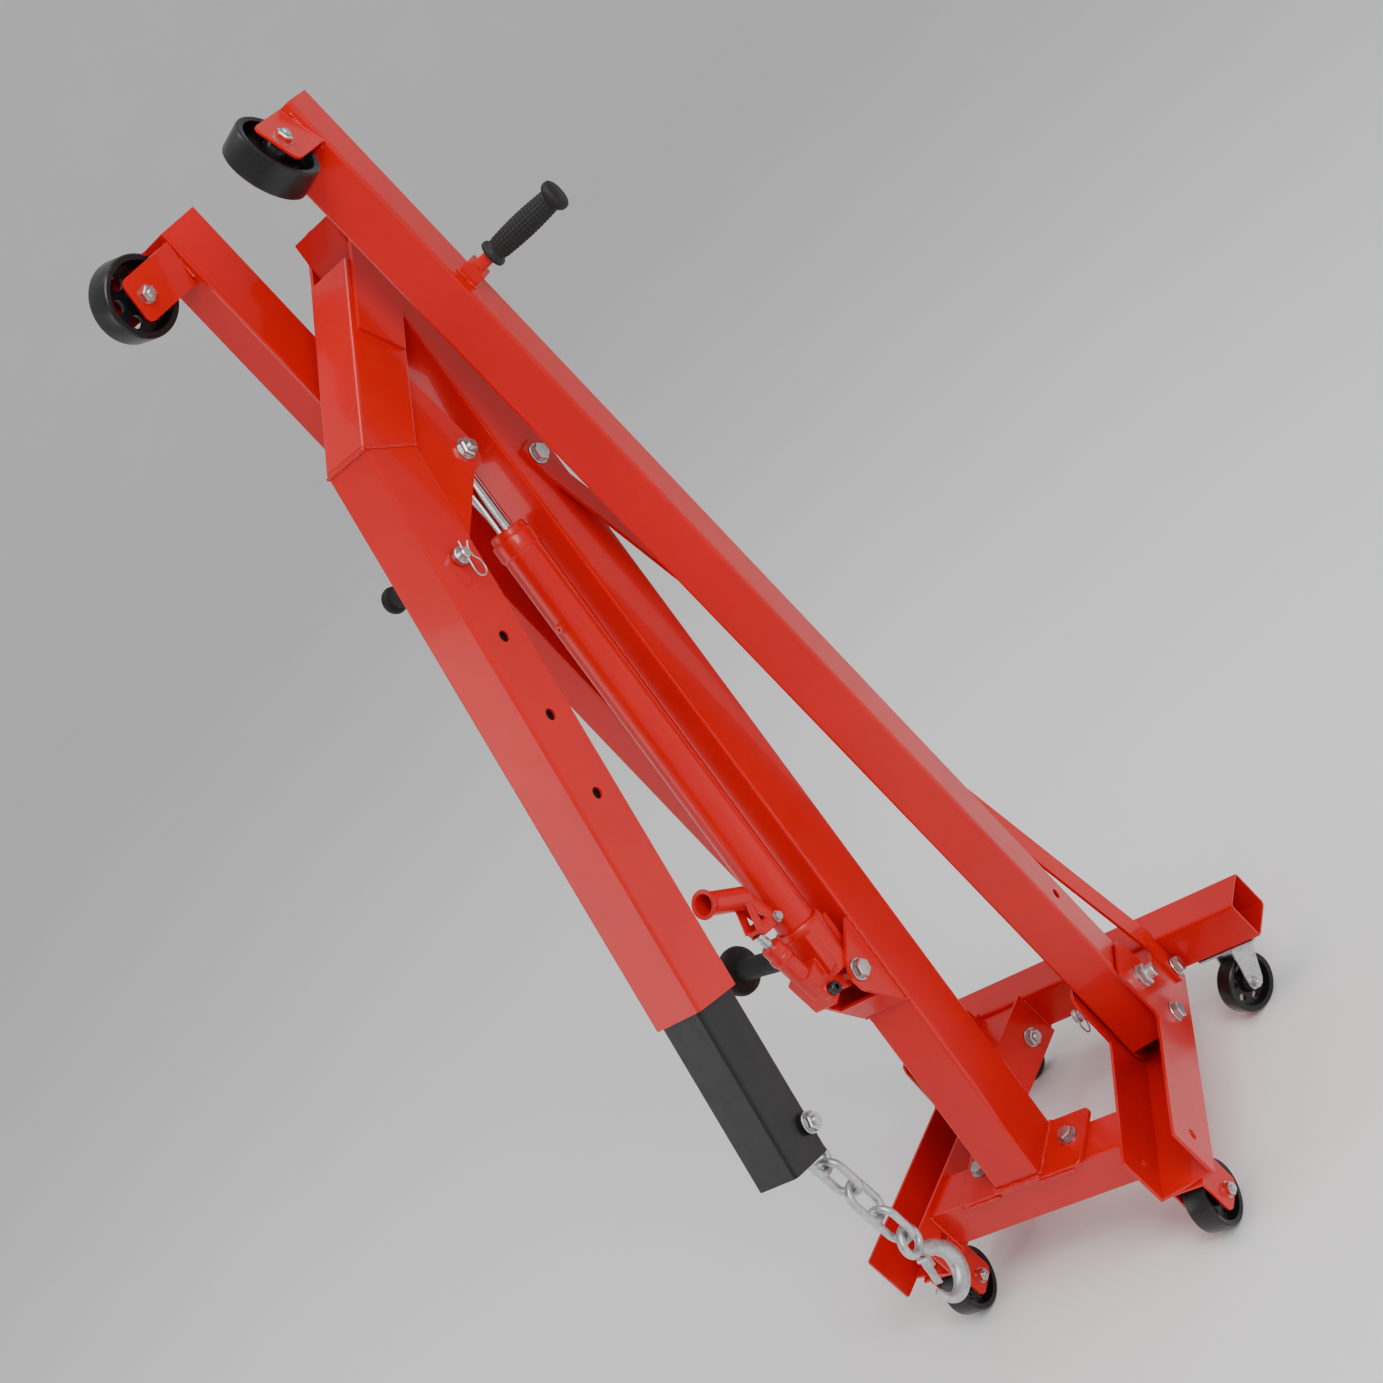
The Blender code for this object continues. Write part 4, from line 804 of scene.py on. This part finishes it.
def weld_mast():
    for s in (1, -1):
        x = s * (MAST_HALF + 0.001)
        weld(f"mast_foot_side_{s + 1}", [WORLD @ Vector((x, y, FOOT_Z)) for y in (-0.221, -0.139)],
             "base", 0.0032, s)
    weld("mast_foot_front", [WORLD @ Vector((s * MAST_HALF, -0.2225, FOOT_Z)) for s in (-1, 1)],
         "base", 0.0034, 0.4)
    for s in (1, -1):
        weld(f"plate_edge_{s + 1}", [WORLD @ Vector((s * x, -0.2245, 0.1546)) for x in (0.030, 0.080)],
             "base", 0.0022, s * 0.3)
    face, middle = -(MAST_DEPTH / 2 + 0.0004), ram_foot_in_mast().z
    for s in (1, -1):
        x = s * (MAST_HALF - 0.0001)
        weld(f"bracket_seam_{s + 1}", [mast() @ Vector((x, face, middle + dz)) for dz in (0.050, -0.072)],
             "base", 0.0026, s * 0.7)


def weld_pocket(side, tag):
    """Upright beads where the cross tubes meet the pocket."""
    inner_face = -side * (POCKET_HALF + 0.0006)
    slope = math.tan(side * SPLAY)
    for y in (FRONT_Y + 0.0306, FRONT_Y - 0.0306):
        local = pocket(side).inverted() @ (WORLD @ Vector((side * 0.06, y, 0.12)))
        run = local.y - (inner_face - local.x) * slope
        weld(f"front_joint_{tag}_{int(y * 1000)}",
             [pocket(side) @ Vector((inner_face, run, z - PIVOT_Z)) for z in (0.095, 0.153)],
             "base", 0.0026, y * 9)
    for s in (1, -1):
        start = pocket(side) @ Vector((s * POCKET_HALF, 0, 0))
        run = (REAR_Y - 0.0303 + 0.13180 - start.y) / math.cos(SPLAY)
        weld(f"rear_joint_{tag}_{s + 1}",
             [pocket(side) @ Vector((s * POCKET_HALF, run, z - PIVOT_Z)) for z in (0.095, 0.150)],
             "base", 0.0026, s)


def weld_leg(side, tag, word, along, forward):
    """Beads along the wheel fork and round the handle's boss."""
    for s in (1, -1):
        weld(f"fork_seam_{tag}_{s + 1}",
             [leg(side) @ Vector((s * 0.022, -LEG_WHEEL_U + dy, -0.0306)) for dy in (0.026, -0.022)],
             "leg_" + word, 0.0022, s)
    ring = [leg(side) @ Vector((side * 0.0306, -along + 0.0128 * a, -forward + 0.0128 * b))
            for a, b in ((-1, -1), (1, -1), (1, 1), (-1, 1), (-1, -1))]
    weld(f"boss_seam_{tag}", ring, "leg_" + word, 0.0018, side)


# ---------------------------------------------------------------- floor, light and camera

AZIMUTH, ELEVATION, ROLL = math.radians(39.128), math.radians(17.647), math.radians(46.028)
LENS, SENSOR = 56.07, 36
CAMERA_PLACE = (1.52266, -1.68822, 1.5578)
WALL, BEND, WIDE, HEIGHT = 14.0, 3.0, 40.0, 16.0


def build_floor():
    """A pale floor that curves up into a wall far behind the crane."""
    profile = [(-20.0, 0.0), (WALL - BEND, 0.0)]
    for k in range(1, 25):
        angle = math.pi / 2 * k / 24
        profile.append((WALL - BEND + BEND * math.sin(angle), BEND - BEND * math.cos(angle)))
    profile.append((WALL, HEIGHT))
    turn = rot("Z", AZIMUTH)
    verts = [turn @ Vector((side * WIDE, away, rise - 0.0005)) for away, rise in profile for side in (-1, 1)]
    faces = [(2 * k, 2 * k + 1, 2 * k + 3, 2 * k + 2) for k in range(len(profile) - 1)]
    mesh = bpy.data.meshes.new("floor")
    mesh.from_pydata(verts, [], faces)
    for face in mesh.polygons:
        face.use_smooth = True
    floor = bpy.data.objects.new("floor", mesh)
    bpy.context.scene.collection.objects.link(floor)
    look, tree, shader, where = surface("studio_floor", 0.85)
    tone = ramp(tree, noise(tree, where, 2.0, 2.0), [(0.3, (0.93, 0.93, 0.93)), (0.7, (0.95, 0.95, 0.95))])
    tree.links.new(tone, shader.inputs["Base Color"])
    mesh.materials.append(look)


def softbox(name, where, target, size, power):
    light = bpy.data.lights.new(name, "AREA")
    light.shape = "RECTANGLE"
    light.size, light.size_y = size
    light.energy = power
    made = bpy.data.objects.new(name, light)
    bpy.context.scene.collection.objects.link(made)
    made.location = where
    made.rotation_mode = "QUATERNION"
    made.rotation_quaternion = (Vector(target) - Vector(where)).to_track_quat("-Z", "Y")


def build_light():
    world = bpy.data.worlds.new("studio")
    world.use_nodes = True
    world.node_tree.nodes["Background"].inputs["Color"].default_value = (1, 1, 1, 1)
    world.node_tree.nodes["Background"].inputs["Strength"].default_value = 0.5
    bpy.context.scene.world = world
    softbox("key", (2.6, -1.4, 3.0), (0, 0, 0.7), (1.6, 2.4), 90)
    softbox("fill", (-2.6, -2.4, 1.6), (0, 0, 0.7), (1.6, 2.0), 20)
    softbox("top", (0.2, 0.2, 4.0), (0, 0, 0.5), (2.0, 2.0), 45)


def build_camera():
    across = math.cos(ELEVATION)
    back = Vector((math.sin(AZIMUTH) * across, -math.cos(AZIMUTH) * across, math.sin(ELEVATION)))
    level = Vector((math.cos(AZIMUTH), math.sin(AZIMUTH), 0))
    down = -level.cross(-back)
    image_x = math.cos(ROLL) * level + math.sin(ROLL) * down
    image_y = math.sin(ROLL) * level - math.cos(ROLL) * down
    data = bpy.data.cameras.new("camera")
    data.sensor_width = SENSOR
    data.lens = LENS
    data.clip_end = 100
    camera = bpy.data.objects.new("camera", data)
    bpy.context.scene.collection.objects.link(camera)
    pose = Matrix((image_x, image_y, back)).transposed().to_4x4()
    pose.translation = Vector(CAMERA_PLACE)
    camera.matrix_world = pose
    bpy.context.scene.camera = camera


build_plates()
build_wheels()
build_bolts()
build_grips()
build_reach_pin()
build_hook(build_chain())
build_ram()
build_ram_base()
build_lever()
build_valve()
build_lock_pins()
weld_boom()
weld_mast()
for (side, tag, word), handle in zip(SIDES, HANDLES):
    weld_pocket(side, tag)
    weld_leg(side, tag, word, *handle[2:])
build_floor()
build_light()
build_camera()

bpy.context.view_layer.update()
